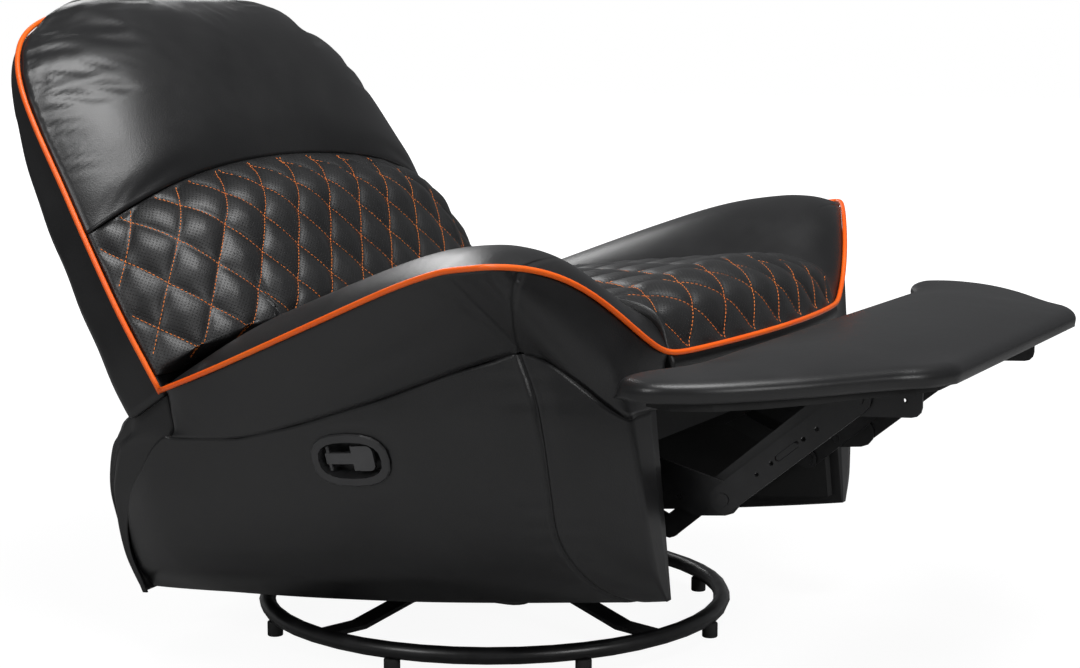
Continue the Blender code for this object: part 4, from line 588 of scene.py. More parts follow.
black = leather("soft_black_leather", (0.0085, 0.0085, 0.0090), (0.0125, 0.0125, 0.0130), 0.37)
quilted = leather("perforated_black_leather", (0.0095, 0.0095, 0.0100), (0.0140, 0.0140, 0.0145), 0.44,
                  perforated=True)
orange = leather("orange_welt_leather", (1.0, 0.118, 0.001), (1.0, 0.155, 0.003), 0.40, grain=900.0)
thread = plain("orange_thread", (0.88, 0.21, 0.03), 0.60, 1800.0, 0.0002)
powder_steel = metal("powder_coated_steel", (0.006, 0.006, 0.0065), 0.33, 0.0, 1400.0,
                     Coat_Weight=0.15, Coat_Roughness=0.25)
zinc_steel = metal("zinc_plated_steel", (0.46, 0.46, 0.47), 0.32, 1.0, 900.0)
spring_steel = metal("oiled_spring_steel", (0.07, 0.07, 0.075), 0.36, 0.9, 900.0)
board = plain("black_dust_cloth", (0.012, 0.012, 0.012), 0.85, 700.0, 0.0006)
moulded = plain("moulded_black_plastic", (0.026, 0.026, 0.027), 0.32, 1500.0, 0.0002)
lever_plastic = plain("satin_black_plastic", (0.052, 0.052, 0.054), 0.27, 1500.0, 0.0002)
rubber = plain("black_rubber", (0.018, 0.018, 0.018), 0.75, 900.0, 0.0004)


def smoothed_by_angle(piece, degrees):
    bpy.ops.object.select_all(action="DESELECT")
    piece.select_set(True)
    bpy.context.view_layer.objects.active = piece
    bpy.ops.object.shade_smooth_by_angle(angle=math.radians(degrees))


def make_base_ring():
    """The welded base with its ring rounded as bent tube is; the arms' edges stay crisp."""
    bpy.ops.object.select_all(action="DESELECT")
    ring = bpy.data.objects.new("base_ring_tube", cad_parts["base_ring"].data.copy())
    bpy.context.scene.collection.objects.link(ring)
    ring.select_set(True)
    bpy.context.view_layer.objects.active = ring
    bpy.ops.object.mode_set(mode="EDIT")
    bpy.ops.mesh.select_all(action="SELECT")
    bpy.ops.mesh.remove_doubles(threshold=0.00001)
    bpy.ops.object.mode_set(mode="OBJECT")
    if ring.data.has_custom_normals:
        bpy.ops.mesh.customdata_custom_splitnormals_clear()
    smoothed_by_angle(ring, 50.0)
    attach(ring, "base")
    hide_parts("base_ring")


def make_feet():
    """One small rubber foot with rounded rims, copied to all eight places under the ring."""
    bpy.ops.object.select_all(action="DESELECT")
    bpy.ops.mesh.primitive_cylinder_add(vertices=32, radius=FOOT_RADIUS, depth=FOOT_HEIGHT,
                                        location=(0.0, 0.0, FOOT_HEIGHT / 2))
    pattern = bpy.context.object
    bpy.ops.object.transform_apply(location=True, rotation=True, scale=True)
    bpy.ops.object.mode_set(mode="EDIT")
    bpy.ops.mesh.select_all(action="SELECT")
    bpy.ops.mesh.bevel(offset=0.0018, segments=3, affect="EDGES")
    bpy.ops.object.mode_set(mode="OBJECT")
    smoothed_by_angle(pattern, 40.0)
    for number in range(1, 9):
        places = points_of(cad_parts["glide_%d" % number])
        middle = (places.min(axis=0) + places.max(axis=0)) / 2
        foot = bpy.data.objects.new("rubber_foot_%d" % number, pattern.data.copy())
        bpy.context.scene.collection.objects.link(foot)
        put_points(foot, points_of(foot) + np.array((middle[0], middle[1], 0.0)))
        foot.data.materials.clear()
        foot.data.materials.append(rubber)
        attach(foot, "base")
        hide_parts("glide_%d" % number)
    bpy.data.objects.remove(pattern)


def dress_frame():
    """The carried-over steel, board and plastic pieces get their finishes."""
    for name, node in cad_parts.items():
        if name in ("lower_race", "pivot_bolt", "rock_shaft"):
            look = zinc_steel
        elif name.startswith(("rocker_spring", "seat_spring")):
            look = spring_steel
        elif name.startswith(("front_rail", "rear_rail", "rear_board", "back_frame", "footrest_board",
                              "side_board")):
            look = board
        elif name == "release_paddle":
            look = lever_plastic
        elif name == "handle_cup":
            look = moulded
        else:
            look = powder_steel
        node.data.materials.clear()
        node.data.materials.append(look)


# Leather of the tub

def seam_height(place):
    return along(place, SEAM_PLACES + REAR_PLACES, SEAM_HEIGHTS + REAR_HEIGHTS)


def side_half(place, height):
    """How far out the tub's side reaches, less at its rounded front and rear."""
    full = along(height, SIDE_HEIGHTS, SIDE_WIDTHS)
    front = max(0.0, 1.0 - (place - TUB_FRONT) / 0.125) ** 2 * 0.46
    rear = max(0.0, 1.0 - (TUB_REAR - place) / 0.110) ** 2 * 0.42
    return full - (full - PANEL_X) * (front + rear)


def arm_point(share, c):
    """A place on the arm's upper surface: share runs to the front, c from the inner edge out to the welt."""
    outer = np.array(ARM_EDGE)
    outer = np.array([np.interp(share * 7, range(8), outer[:, k]) for k in range(3)])
    inner_y = blended(SEAM_PLACES[-1], ARM_FRONT[0][1], share)
    inner = np.array((BOARD_X, inner_y, along(inner_y, INNER_PLACES, INNER_HEIGHTS)))
    straight = inner + (outer - inner) * c
    last_inner, last_outer = np.array(ARM_FRONT[0]), np.array(ARM_EDGE[-1])
    front = np.array([np.interp(c * 7, range(8), np.array(ARM_FRONT)[:, k]) for k in range(3)])
    point = straight + (front - last_inner - (last_outer - last_inner) * c) * share ** 4
    point[2] += 4.0 * c * (1.0 - c) * along(inner_y, CREST_PLACES, CREST_HEIGHTS)
    return point


def arm_under(share, c):
    """The place on the side panel's upper seam that the arm's leather comes down to."""
    y = blended(SEAM_PLACES[-1], TUB_FRONT, share)
    ahead = max(0.0, SEAM_PLACES[4] - y) / (SEAM_PLACES[4] - TUB_FRONT)
    beyond = max(0.0, c - 0.5) / 0.5
    y += ARM_WRAP * ahead * beyond
    height = seam_height(y)
    reach = blended(c, min(1.0, c / 0.5), ahead)
    lift = ARM_LIFT * min(1.0, 3.0 * ahead) * min(1.0, 4.0 * beyond * (1.0 - beyond) + beyond)
    return np.array((blended(BOARD_X, side_half(y, height), reach), y, height + SEAM_GAP + lift))


ARM_SHARES = [(SEAM_PLACES[-1] - y) / (SEAM_PLACES[-1] - TUB_FRONT) for y in reversed(SEAM_PLACES)]


def mirrored(grid, side):
    return np.array(grid) * np.array((side, 1.0, 1.0))


def near_line(points, path, width):
    """How close each point is to a path of places, from 1 on it to 0 at the width; and the distance."""
    path = np.array(path, dtype=float)
    best = np.full(len(points), 1e9)
    for a, b in zip(path[:-1], path[1:]):
        run = b - a
        share = np.clip(((points - a) @ run) / run.dot(run), 0.0, 1.0)
        best = np.minimum(best, np.linalg.norm(points - (a + share[:, None] * run), axis=1))
    return np.clip(1.0 - best / width, 0.0, 1.0), best


def make_arm(side, word):
    columns = [j / 8 for j in range(9)]
    top = fine(mirrored([[arm_point(r, c) for c in columns] for r in ARM_SHARES], side), 7)
    under = fine(mirrored([[arm_under(r, c) for c in columns] for r in ARM_SHARES], side), 7)
    arm = stuffed("arm_leather_" + word, top, under, black, walls=16, bulge=0.0)
    count = top.shape[0] * top.shape[1]
    keep = held(arm, top, (WHOLE, -1, 1.0), (-1, WHOLE, 1.0), (0, WHOLE, 1.0), (WHOLE, 0, 0.9))
    keep[-count:] = 1.0
    softened(arm, 24, keep)
    plumped(arm, keep, pressure=5.0, frames=14, cap=0.009)
    points = points_of(arm)
    edge = mirrored([arm_point(r, 1.0) for r in ARM_SHARES], side)
    wall = np.zeros(len(points))
    wall[count:-count] = 1.0
    outer = wall * (np.abs(points[:, 0]) > 0.33)
    inward = points - np.array((side * 0.33, -0.1, 0.40))
    inward /= np.linalg.norm(inward, axis=1, keepdims=True)
    # Gathers under the welt, sharpest where the arm turns in at its front corner.
    close, _ = near_line(points, edge, 0.060)
    place = points[:, 1] - 0.35 * points[:, 2]
    ripple = (0.5 + 0.5 * np.sin(place * 330.0 + 2.1 * np.sin(place * 61.0))) ** 2
    corner = np.exp(-((points[:, 1] + 0.335) / 0.055) ** 2)
    rear = np.exp(-((points[:, 1] - 0.190) / 0.035) ** 2)
    depth = 0.0003 + 0.0020 * corner + 0.0012 * rear
    points -= inward * (outer * close * (1 - close) * 4 * ripple * depth)[:, None]
    # One long soft pull that runs back from the front corner.
    pull, _ = near_line(points[:, 1:], [(-0.30, 0.475), (-0.20, 0.430), (-0.08, 0.395)], 0.030)
    points -= inward * (outer * pull ** 2 * 0.0018)[:, None]
    put_points(arm, points)
    carved(arm, [(-0.3535, 0.516), (-0.338, 0.480), (-0.318, 0.442), (-0.300, 0.405)], 0.0020, 0.0030,
           (side * 0.80, -0.58, -0.15), lambda p: (np.abs(p[:, 0]) > 0.41) & (np.abs(p[:, 0]) < 0.56))
    put_points(arm, laid([points_of(arm)], from_tub))
    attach(arm, "tub")
    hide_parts("arm_" + word)


def make_side_panel(side, word):
    places = sorted(set(SEAM_PLACES + REAR_PLACES + (-0.26, -0.17, -0.05, 0.06, 0.155)))
    middle = (TUB_FRONT + TUB_REAR) / 2

    def on_panel(place, share):
        low = 0.100 - 0.012 * (1.0 - ((place - middle) / (TUB_REAR - middle)) ** 2)
        height = blended(low, seam_height(place), share)
        return (max(side_half(place, height), PANEL_X + 0.004), place, height), (PANEL_X, place, height)

    outer, inner = grids(places, [k / 12 for k in range(13)], on_panel)
    top = fine(mirrored(outer, side), 5)
    base = fine(mirrored(inner, side), 5)
    panel = stuffed("side_panel_leather_" + word, top, base, black, walls=4)
    count = top.shape[0] * top.shape[1]
    keep = held(panel, top, (WHOLE, -1, 1.0), (WHOLE, 0, 0.6), (0, WHOLE, 1.0), (-1, WHOLE, 0.8))
    keep[count:] = 1.0
    softened(panel, 10, keep)
    keep[:count] = np.maximum(keep[:count], 0.55)
    plumped(panel, keep, pressure=3.0, frames=12, cap=0.006)
    points = points_of(panel)
    out = np.array((side, 0.0, 0.0))
    front = (np.abs(points[:, 0]) > PANEL_X + 0.002).astype(float)
    # Long soft pulls across the panel, as coated leather has over foam.
    pull = np.sin((points[:, 1] * 0.5 + points[:, 2]) * 38.0 + 2.0 * np.sin(points[:, 1] * 9.0))
    lower = np.exp(-((points[:, 2] - 0.15) / 0.07) ** 2) * np.exp(-((points[:, 1] + 0.25) / 0.15) ** 2)
    points += out * (front * pull * (0.0003 + 0.0011 * lower))[:, None]
    gather, _ = near_line(points[:, 1:], PANEL_SEAM, 0.045)
    ripple = (0.5 + 0.5 * np.sin(points[:, 2] * 190.0 + 3.0 * np.sin(points[:, 2] * 31.0))) ** 3
    points -= out * (front * gather * (1 - gather) * 4 * ripple * 0.0011)[:, None]
    # The front piece is stuffed fuller than the rest, most of all under the arm.
    seam_places, seam_heights = np.array(PANEL_SEAM[::-1]).T
    ahead = np.interp(points[:, 2], seam_heights, seam_places) - points[:, 1]
    fuller = smooth(ahead / 0.030) * smooth((0.098 - ahead) / 0.040)
    under_arm = np.exp(-((points[:, 2] - 0.330) / 0.060) ** 2)
    points += out * (front * fuller * (0.0020 + 0.0050 * under_arm))[:, None]
    if side < 0:
        points = clamped_at_handle(points, front)
    put_points(panel, points)
    carved(panel, eased(np.array(PANEL_SEAM), 5), 0.0022, 0.0038,
           (side, 0.0, 0.0), lambda p: np.abs(p[:, 0]) > PANEL_X + 0.004)
    put_points(panel, laid([points_of(panel)], from_tub))
    if side < 0:
        cut_for_handle(panel)
    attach(panel, "tub")
    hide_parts("side_panel_" + word)


def clamped_at_handle(points, front):
    """The panel is drawn flat under the handle's frame, and eases away round it."""
    reach = points - HANDLE
    across, up, height = reach @ np.array((0.0, -1.0, 0.0)), reach @ HANDLE_UP, reach @ HANDLE_OUT
    power = HANDLE_SQUARENESS
    round_it = ((np.abs(across) / 0.056) ** power + (np.abs(up) / 0.035) ** power) ** (1 / power)
    share = smooth((round_it - 1.04) / 0.65)
    target = -0.0004 - 0.0010 * np.exp(-((round_it - 1.10) / 0.10) ** 2)
    change = (target - height) * (1.0 - share) * front * (np.abs(height) < 0.03)
    return points + HANDLE_OUT * change[:, None]


def cut_for_handle(panel):
    """An oval hole that the handle's cup is let into, square to the leaning panel."""
    bpy.ops.object.select_all(action="DESELECT")
    bpy.ops.mesh.primitive_cylinder_add(vertices=48, radius=1.0, depth=0.10)
    cutter = bpy.context.object
    points = points_of(cutter)
    radius = np.linalg.norm(points[:, :2], axis=1, keepdims=True)
    turn = points[:, :2] / np.maximum(radius, 1e-9)
    points[:, :2] = np.sign(turn) * np.abs(turn) ** (2 / HANDLE_SQUARENESS) * HANDLE_OPENING
    ahead = Vector((0.0, -0.9954, 0.09585))
    up = Vector((-0.23745, 0.0931, 0.96693))
    turn = np.array(Matrix((ahead, up, ahead.cross(up))).transposed())
    put_points(cutter, points @ turn.T + np.array(from_tub(HANDLE)))
    cut_out(panel, cutter, crossing=True)


def seat_grid():
    grid = []
    for i in range(13):
        if i <= 2:
            angle = math.pi / 2 * i / 2
            y = SEAT_FRONT + SEAT_ROLL * (1.0 - math.cos(angle))
            z = blended(SEAT_EDGE, SEAT_TOP, math.sin(angle))
        else:
            share = (i - 2) / 10
            y, z = blended(SEAT_FRONT + SEAT_ROLL, SEAT_REAR, share), SEAT_TOP - 0.020 * share ** 3
        row = []
        for j in range(13):
            c = 2.0 * j / 12 - 1.0
            bow = 0.030 * c * c * (1.0 - i / 12) ** 2
            row.append(((BOARD_X - 2 * GAP) * c, y + bow, z + 0.022 * (1.0 - c * c) * min(1.0, i / 2)))
        grid.append(row)
    return np.array(grid)


def quilt(top, across, along_it, diamond, border, first=(0.0, 0.0)):
    """Puffs diamonds of a stated size on a fine grid and sinks the seams between them.

    across and along_it are distances over the leather. Gives the grid and the seams' lines."""
    width, height, depth = diamond
    a = ((across - first[0]) / width + (along_it - first[1]) / height)
    b = ((across - first[0]) / width - (along_it - first[1]) / height)
    pitch = width * height / math.hypot(width, height)
    near_a, near_b = np.abs(a - np.round(a)) * pitch, np.abs(b - np.round(b)) * pitch
    puff = (1 - np.exp(-near_a / QUILT_SEAM)) * (1 - np.exp(-near_b / QUILT_SEAM))
    dome = (near_a * near_b) / (pitch / 2) ** 2
    fade = smooth(border / 0.014)
    crossing = np.exp(-((near_a ** 2 + near_b ** 2) / 0.010 ** 2))
    raised = ((puff - 0.75) * depth + dome * depth * 0.35 - crossing * 0.0012) * fade
    quilted_top = top + normals_of(top) * raised[:, :, None]
    normal = normals_of(quilted_top)
    lines = []
    for field, other in ((a, b), (b, a)):
        for n in range(int(math.floor(field.min())), int(math.ceil(field.max())) + 1):
            found = []
            for i in range(len(top)):
                level = field[i] - n
                for j in np.nonzero(level[:-1] * level[1:] <= 0)[0]:
                    t = level[j] / (level[j] - level[j + 1] + 1e-12)
                    if 0.0 <= t <= 1.0 and border[i, j] > 0.004:
                        found.append((other[i, j] * (1 - t) + other[i, j + 1] * t,
                                      quilted_top[i, j] * (1 - t) + quilted_top[i, j + 1] * t,
                                      normal[i, j] * (1 - t) + normal[i, j + 1] * t))
            found.sort(key=lambda entry: entry[0])
            if len(found) > 5:
                lines.append((np.array([f[1] for f in found]), np.array([f[2] for f in found])))
    return quilted_top, lines


def edge_distance(top):
    """How far each point of a fine grid is from the grid's own border, over the surface."""
    measure = surface_measure(top)
    x, y = measure[:, :, 0], measure[:, :, 1]
    return np.minimum(np.minimum(x - x[:, :1], x[:, -1:] - x), np.minimum(y - y[:1], y[-1:] - y))


def surface_measure(top):
    """Distances over a fine surface, across and along, for patterns that follow the leather."""
    across = np.linalg.norm(np.diff(top, axis=1), axis=2)
    down = np.linalg.norm(np.diff(top, axis=0), axis=2)
    rows, columns = top.shape[:2]
    x = np.concatenate([np.zeros((rows, 1)), np.cumsum(across, axis=1)], axis=1)
    x -= x[:, columns // 2][:, None]
    y = np.concatenate([np.zeros((1, columns)), np.cumsum(down, axis=0)], axis=0)
    y = np.repeat(y[:, columns // 2][:, None], columns, axis=1)
    return np.stack([x, y], axis=2)


def make_seat():
    top = fine(laid(seat_grid(), from_tub), 14)
    measure = surface_measure(top)
    puffed, lines = quilt(top, measure[:, :, 0], measure[:, :, 1], SEAT_DIAMOND, edge_distance(top),
                          first=(0.0, 0.004))
    base = top.copy()
    deck = np.array(from_tub((0.0, 0.0, DECK_HEIGHT)))
    down = np.array(from_tub((0.0, 0.0, DECK_HEIGHT - 1.0))) - deck
    base = base - ((base - deck) @ down)[:, :, None] * down
    seat = stuffed("seat_leather", puffed, base, quilted, walls=8, bulge=0.003, sheet=False, measure=measure)
    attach(seat, "tub")
    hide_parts("seat_cushion")
    thread_lines = stitches("seat_stitches", lines, thread)
    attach(thread_lines, "tub")


def eased_path(run, passes=3):
    """Takes the sharpness out of a path's corners and holds its ends."""
    run = np.array(run)
    for _ in range(passes):
        run[1:-1] += 0.25 * (run[2:] - 2 * run[1:-1] + run[:-2])
    return run


def make_arm_welt():
    edge = [arm_point(r, 1.0) for r in ARM_SHARES]
    edge += [arm_point(1.0, j / 8) for j in range(7, -1, -1)]
    front = list(seat_grid()[0][::-1])[1:-1]
    run = np.array(edge + front + [mirrored(p, -1.0) for p in reversed(edge)])
    run = set_out(run, -(WELT_RADIUS + SEAM_GAP / 2))
    path = eased_path([from_tub(p) for p in eased(run, 6)], 14)
    welt = tube("arm_welt", path, WELT_RADIUS, orange)
    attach(welt, "tub")
    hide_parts("arm_piping")


def make_gusset():
    """The loose leather round the rear: it hangs on the tub and reaches up to the back's lower edge."""
    # Each row: where the seam runs, how far back the leather reaches, its half width and its height.
    rows = [(0.352, 0.369, 0.330, 0.096), (0.353, 0.3712, 0.338, 0.118), (0.354, 0.3715, 0.350, 0.148),
            (0.347, 0.3714, 0.362, 0.178)]
    rows += [(seam, rear, half, seam_height(seam)) for seam, rear, half in
             zip((0.333, 0.303, 0.267, 0.239, 0.215), (0.372, 0.3725, 0.3725, 0.366, 0.355),
                 (0.374, 0.391, 0.400, 0.406, 0.410))]

    turns = []
    for k in range(29):
        angle = math.pi * k / 28
        across = math.copysign(abs(math.cos(angle)) ** 0.4, math.cos(angle))
        turns.append((across, math.sin(angle) ** 0.4 if 0 < k < 28 else 0.0))

    def ring(inset):
        grid = []
        for seam, rear, half, height in rows:
            row = []
            for across, back in turns:
                row.append(((half - inset) * across, seam + (rear - inset - seam) * back, height))
            grid.append(row)
        for rise in (0.5, 1.0):
            row = []
            for (across, back), last in zip(turns, grid[len(rows) - 1]):
                shell = ((0.414 - inset) * across, 0.219 + (0.086 - inset) * back, 0.382 - 0.042 * back)
                out = 0.010 * math.sin(math.pi * rise) * back
                row.append(tuple(blended(last[n], shell[n], rise) + (0.0, out, 0.0)[n] for n in range(3)))
            grid.append(row)
        return np.array(grid)

    outer, inner = fine(ring(0.0), 6), fine(ring(0.003), 6)
    v, u = np.meshgrid(np.linspace(0, 1, outer.shape[0]), np.linspace(0, 1, outer.shape[1]), indexing="ij")
    ends = np.minimum(u, 1.0 - u)
    fold = np.sin(ends * 70.0 + v * 9.0 + 2.0 * np.sin(v * 7.0))
    fold *= np.exp(-((ends - 0.16) / 0.12) ** 2) * 0.0042
    fold += np.sin(u * 54.0 + 2.4 * np.sin(v * 4.0 + u * 9.0)) * 0.0014
    fold *= np.sin(np.clip(v * 1.02, 0, 1) * math.pi) ** 0.7
    out = outer - outer.mean(axis=(0, 1))
    out[:, :, 2] = 0.0
    out /= np.linalg.norm(out, axis=2, keepdims=True)
    outer, inner = outer + out * fold[:, :, None], inner + out * fold[:, :, None]
    band = stuffed("rear_gusset_leather", laid(outer, from_tub), laid(inner, from_tub), black, walls=2)
    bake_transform(band)
    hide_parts("rear_gusset")


# Leather of the back

def back_half(s):
    return along(s, BACK_STATIONS, BACK_HALVES)


def back_seam(x):
    return HEAD_SEAM - 0.060 * (x / 0.420) ** 2


def on_head(station, across):
    """A place on the head pad's front and one on the board, from a station up the back."""
    share = (station - HEAD_SEAM) / HEAD_LENGTH
    c = math.sin(math.pi / 2 * across) * 0.45 + across * 0.55
    s = blended(back_seam(c * back_half(station)) + SEAM_GAP, BACK_TOP, share)
    x = c * back_half(s)
    rise = blended(0.84, 1.0, smooth_share(share / 0.12))
    fall = (1.0 - max(0.0, (share - 0.30) / 0.70) ** 3.2) ** 0.55
    # The top's middle rolls a little over the welt.
    over = smooth_share((0.350 - abs(x)) / 0.120) * smooth_share((share - 0.80) / 0.20)
    crown = HEAD_CROWN * (1.0 - abs(c) ** 4.6) ** 0.8 * rise * fall
    return (x, s + 0.013 * over, EDGE_DEPTH + 0.012 * over + crown), (x, s, GAP)


def make_head_pad():
    top, base = grids(np.linspace(HEAD_SEAM, BACK_TOP, 62), [2.0 * j / 100 - 1.0 for j in range(101)], on_head)
    head = stuffed("head_leather", top, base, black, walls=5, sheet=False)
    keep = held(head, top, (WHOLE, 0, 1.0), (WHOLE, -1, 1.0), (0, WHOLE, 1.0), (-1, WHOLE, 1.0))
    keep[top.shape[0] * top.shape[1]:] = 1.0
    softened(head, 8, keep)
    plumped(head, keep, pressure=5.0, frames=14, cap=0.009)
    points = points_of(head)
    # Short gathers fan out from the welt up both shoulders.
    edge = [(back_half(s), s) for s in np.linspace(0.25, BACK_TOP, 40)]
    for side in (-1, 1):
        _, apart = near_line(points[:, :2], np.array(edge) * np.array((side, 1.0)), 0.052)
        place = points[:, 1] + 0.30 * (apart - 0.02) + 0.004 * np.sin(points[:, 1] * 23.0)
        ripple = (0.5 + 0.5 * np.sin(place * 430.0 + 2.3 * np.sin(place * 71.0))) ** 3
        upper = smooth((points[:, 1] - 0.27) / 0.08)
        sink = np.clip(apart / 0.008, 0.0, 1.0) * np.clip(1 - apart / 0.052, 0.0, 1.0) ** 1.2
        points[:, 2] -= sink * ripple * upper * 0.0042 * (points[:, 2] > 0.004) * (points[:, 0] * side > 0)
    put_points(head, laid([points], from_back))
    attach(head, "back")
    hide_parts("head_pad")


def lumbar_crown(x, c, s, top):
    share = (s - BACK_LOW) / (top - BACK_LOW)
    rise = blended(0.55, 1.0, smooth_share(share / 0.35))
    fall = 1.0 - 0.40 * max(0.0, (share - 0.72) / 0.28) ** 2
    crown = LUMBAR_CROWN * (1.0 - abs(c) ** 4.5) * rise * fall
    over_arm = smooth_share((abs(x) - OVER_ARM) / OVER_ARM_STEP)
    return crown * (1.0 - over_arm * (1.0 - smooth_share((s - 0.020) / 0.012)))


def make_lumbar():
    """Stitched over the whole front of the back's lower half. Its ends rest just above the arms."""
    def on_lumbar(share, c):
        low = blended(BACK_LOW, 0.022, smooth_share((abs(c) * BACK_WIDEST - OVER_ARM) / OVER_ARM_STEP))
        high = back_seam(c * back_half(HEAD_SEAM)) - SEAM_GAP
        s = blended(low, high, share)
        x = c * back_half(s)
        return (x, s, EDGE_DEPTH + lumbar_crown(x, c, s, high)), (x, s, GAP)

    flat_front, rear = grids([i / 111 for i in range(112)], np.linspace(-1.0, 1.0, 249), on_lumbar)
    top, base = laid(flat_front, from_back), laid(rear, from_back)
    # Distances over the leather: the arc across, measured at mid height, and up the back.
    middle = flat_front[70]
    arc = np.concatenate([[0.0], np.cumsum(np.hypot(np.diff(middle[:, 0]), np.diff(middle[:, 2])))])
    arc -= arc[len(arc) // 2]
    across = np.repeat(arc[None, :], len(flat_front), axis=0)
    up = flat_front[:, :, 1] - 0.223
    puffed, lines = quilt(top, across, up, LUMBAR_DIAMOND, edge_distance(top))
    cushion = stuffed("lumbar_leather", puffed, base, quilted, walls=5, sheet=False,
                      measure=np.stack([across, up], axis=2))
    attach(cushion, "back")
    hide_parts("lumbar_cushion")
    thread_lines = stitches("lumbar_stitches", lines, thread)
    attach(thread_lines, "back")
    for piece in (cushion, thread_lines):
        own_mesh(piece)


def make_shell():
    stations = (-0.004, 0.060, 0.135, 0.220, 0.310, 0.385, 0.440, 0.485, 0.520, 0.547, 0.563, 0.573)
    places = (0.0, 0.140, 0.230, 0.330, 0.415, 0.500, 0.573)
    bands = (0.070, 0.060, 0.055, 0.050, 0.030, 0.020, 0.012)
    depths = (0.112, 0.112, 0.108, 0.098, 0.084, 0.060, 0.020)

    def on_shell(s, c):
        band, depth = along(s, places, bands), along(s, places, depths)
        x = c * back_half(s)
        return (x, s, -band - (depth - band) * (1.0 - abs(c) ** 2.2)), (x, s, -GAP)

    rear, front = grids(stations, [2.0 * j / 14 - 1.0 for j in range(15)], on_shell)
    top = fine(rear, 6)
    base = fine(front, 6)
    shell = stuffed("back_shell_leather", top, base, black, walls=8, sheet=False)
    keep = held(shell, top, (0, WHOLE, 0.8), (WHOLE, 0, 0.75), (WHOLE, -1, 0.75))
    keep[top.shape[0] * top.shape[1]:] = 1.0
    softened(shell, 10, keep)
    points = points_of(shell)
    ripple = np.sin(points[:, 1] * 60.0 + 2.0 * np.sin(points[:, 0] * 11.0)) * 0.0010
    points[:, 2] += ripple * (points[:, 2] < -0.03)
    put_points(shell, laid([points], from_back))
    bpy.ops.object.select_all(action="DESELECT")
    bpy.ops.mesh.primitive_cube_add(size=1.0)
    cutter = bpy.context.object
    block = points_of(cutter)
    block = block * np.array(POCKET_SIZE) + np.array(POCKET_MIDDLE)
    put_points(cutter, laid([block], from_back))
    cut_out(shell, cutter)
    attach(shell, "back")
    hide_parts("back_shell")


def make_back_welt():
    side = [(back_half(s), s, 0.0) for s in (0.0,) + BACK_STATIONS[1:]]
    run = np.array(side + [(0.065, BACK_TOP, 0.0), (0.0, BACK_TOP, 0.0), (-0.065, BACK_TOP, 0.0)]
                   + [(-x, s, d) for x, s, d in reversed(side)])
    run = set_out(run, WELT_RADIUS + SEAM_GAP)
    path = [from_back(p) for p in eased(run, 6)]
    welt = tube("back_welt", path, WELT_RADIUS, orange)
    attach(welt, "back")
    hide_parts("back_piping")


# Footrest

def from_pad(point):
    """A place on the pad, from its rear underside edge, in the frame of the whole sofa."""
    x, y, z = point
    return from_tub((x, PAD_EDGE[0] + y * math.cos(PAD_DROOP) - z * math.sin(PAD_DROOP),
                     PAD_EDGE[1] + y * math.sin(PAD_DROOP) + z * math.cos(PAD_DROOP)))


def make_footrest_pad():
    """A thick pad with soft round edges on all sides, drawn in from its outline at the top."""
    stations = (0.0, 0.030, 0.070, 0.110, 0.150, 0.185, 0.215, 0.240, 0.258)
    halves = (0.528, 0.545, 0.526, 0.485, 0.430, 0.378, 0.338, 0.312, 0.270)
    middle = stations[-1] / 2

    def on_pad(station, c):
        share = station / stations[-1]
        x = c * along(station, stations, halves)
        y = -station + 0.036 * smooth_share((abs(x) - 0.400) / 0.100) * (1.0 - share) ** 3
        rise = (1.0 - abs(c) ** 3) * (1.0 - abs(2.0 * share - 1.0) ** 2.5)
        drawn_in = -middle + (y + middle) * (1.0 - PAD_INSET / middle)
        return (x * (1.0 - PAD_INSET / 0.54), drawn_in, PAD_HIGH + 0.014 * rise), (x, y, PAD_LOW)

    top, bottom = grids(stations, [2.0 * j / 22 - 1.0 for j in range(23)], on_pad)
    fine_top, fine_base = fine(top, 6), fine(bottom, 6)
    pad = stuffed("footrest_leather", fine_top, fine_base, black, walls=10, bulge=0.0085, sheet=False)
    rows, width = fine_top.shape[:2]
    keep = np.zeros(len(pad.data.vertices))
    keep[rows * width:] = 0.35
    rim = 2 * (rows + width) - 4
    keep[-rim:] = 1.0
    softened(pad, 12, keep)
    keep[:] = 0.5
    keep[-rim:] = 1.0
    plumped(pad, keep, pressure=4.0, frames=12, cap=0.006)
    put_points(pad, laid([points_of(pad)], from_pad))
    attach(pad, "footrest")
    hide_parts("footrest_pad")


# Studio

def mixed(tree, amount, struck, seen, output):
    """One look where light strikes a thing, and another, by an amount, where the camera sees it."""
    mix = tree.nodes.new("ShaderNodeMixShader")
    for source, socket in ((amount, "Fac"), (struck.outputs[0], 1), (seen.outputs[0], 2)):
        tree.links.new(source, mix.inputs[socket])
    tree.links.new(mix.outputs["Shader"], tree.nodes[output].inputs["Surface"])


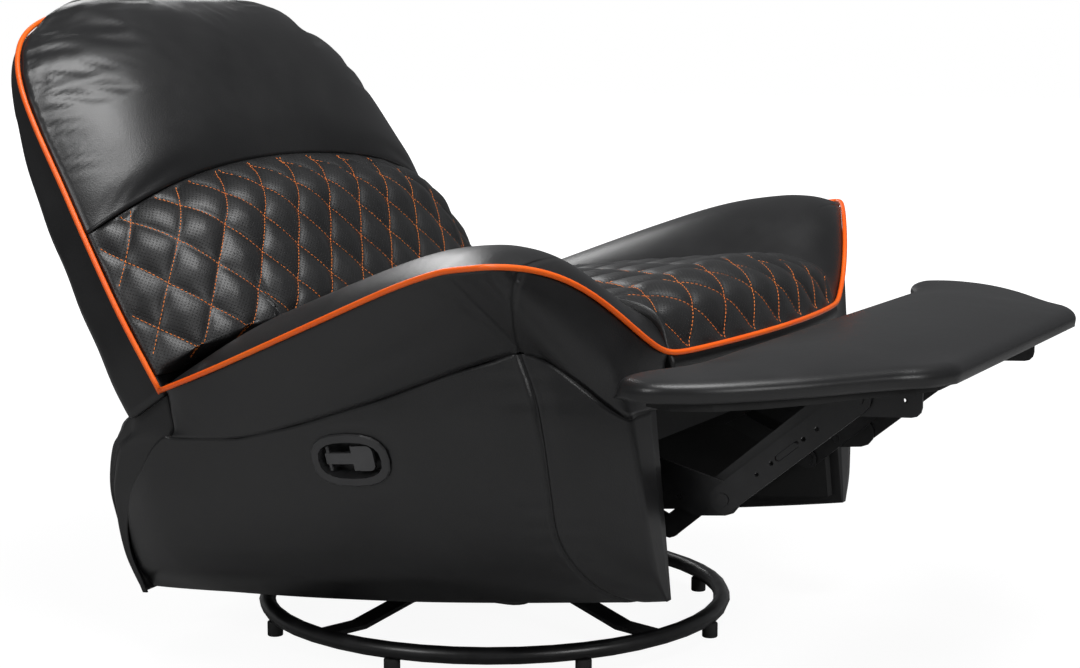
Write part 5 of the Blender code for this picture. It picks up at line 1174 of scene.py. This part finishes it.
def studio():
    """A pale sweep, soft lamps at a plain level, and the camera where the photograph was taken."""
    bpy.ops.object.select_all(action="DESELECT")
    bpy.ops.mesh.primitive_plane_add(size=60.0)
    floor = bpy.context.object
    floor.name = "studio_floor"
    made, tree, surface = shader("pale_floor", (0.42, 0.42, 0.42), 0.85)
    shine = spot(tree, "ShaderNodeEmission", Strength=1.30)
    shine.inputs["Color"].default_value = (1.0, 1.0, 1.0, 1.0)
    path = tree.nodes.new("ShaderNodeLightPath")
    glow = spot(tree, "ShaderNodeMath", operation="MULTIPLY")
    place = tree.nodes.new("ShaderNodeTexCoord").outputs["Object"]
    far = spot(tree, "ShaderNodeVectorMath", operation="LENGTH")
    tree.links.new(place, far.inputs[0])
    # The floor's glow grows to full with distance, so no horizon shows.
    tree.links.new(ramp(tree, far.outputs["Value"], 1.1, 3.6, 0.72, 1.0), glow.inputs[1])
    tree.links.new(path.outputs["Is Camera Ray"], glow.inputs[0])
    mixed(tree, glow.outputs["Value"], surface, shine, "Material Output")
    floor.data.materials.append(made)

    world = bpy.data.worlds.new("studio")
    bpy.context.scene.world = world
    world.use_nodes = True
    tree = world.node_tree
    back = tree.nodes["Background"]
    back.inputs["Color"].default_value = (0.80, 0.81, 0.83, 1.0)
    back.inputs["Strength"].default_value = 0.20
    seen = spot(tree, "ShaderNodeBackground", Strength=1.0)
    seen.inputs["Color"].default_value = (1.0, 1.0, 1.0, 1.0)
    path = tree.nodes.new("ShaderNodeLightPath")
    mixed(tree, path.outputs["Is Camera Ray"], back, seen, "World Output")

    def lamp(name, place, target, size, power):
        light = bpy.data.lights.new(name, "AREA")
        light.shape = "RECTANGLE"
        light.size, light.size_y = size
        light.energy = power
        made = bpy.data.objects.new(name, light)
        bpy.context.scene.collection.objects.link(made)
        made.location = place
        made.rotation_euler = (Vector(target) - Vector(place)).to_track_quat("-Z", "Y").to_euler()

    lamp("overhead", (-0.4, -0.6, 2.9), (0.0, 0.0, 0.3), (1.9, 0.9), 66.0)
    lamp("near_side", (-2.9, 0.7, 1.75), (-0.3, -0.1, 0.40), (0.7, 0.9), 20.0)
    lamp("front", (-1.4, -3.2, 1.5), (0.0, -0.2, 0.4), (1.2, 0.8), 26.0)
    lamp("rim", (2.2, 2.6, 2.0), (0.0, 0.1, 0.5), (1.2, 1.6), 30.0)

    camera = bpy.data.cameras.new("camera")
    camera.sensor_width = 36.0
    camera.lens = FOCAL_PIXELS / PHOTO_WIDTH * camera.sensor_width
    eye = bpy.data.objects.new("camera", camera)
    bpy.context.scene.collection.objects.link(eye)
    eye.location = (CAMERA_PLACE[0], CAMERA_PLACE[1] + SHIFT, CAMERA_PLACE[2])
    eye.rotation_euler = (math.radians(90.0 - CAMERA_PITCH), 0.0, math.radians(CAMERA_YAW - 90.0))
    bpy.context.scene.camera = eye
    bpy.context.scene.view_settings.view_transform = "Standard"


dress_frame()
make_base_ring()
make_feet()
for sign, word in ((-1, "near"), (1, "far")):
    make_arm(sign, word)
    make_side_panel(sign, word)
make_seat()
make_arm_welt()
make_gusset()
make_head_pad()
make_lumbar()
make_shell()
make_back_welt()
make_footrest_pad()
studio()
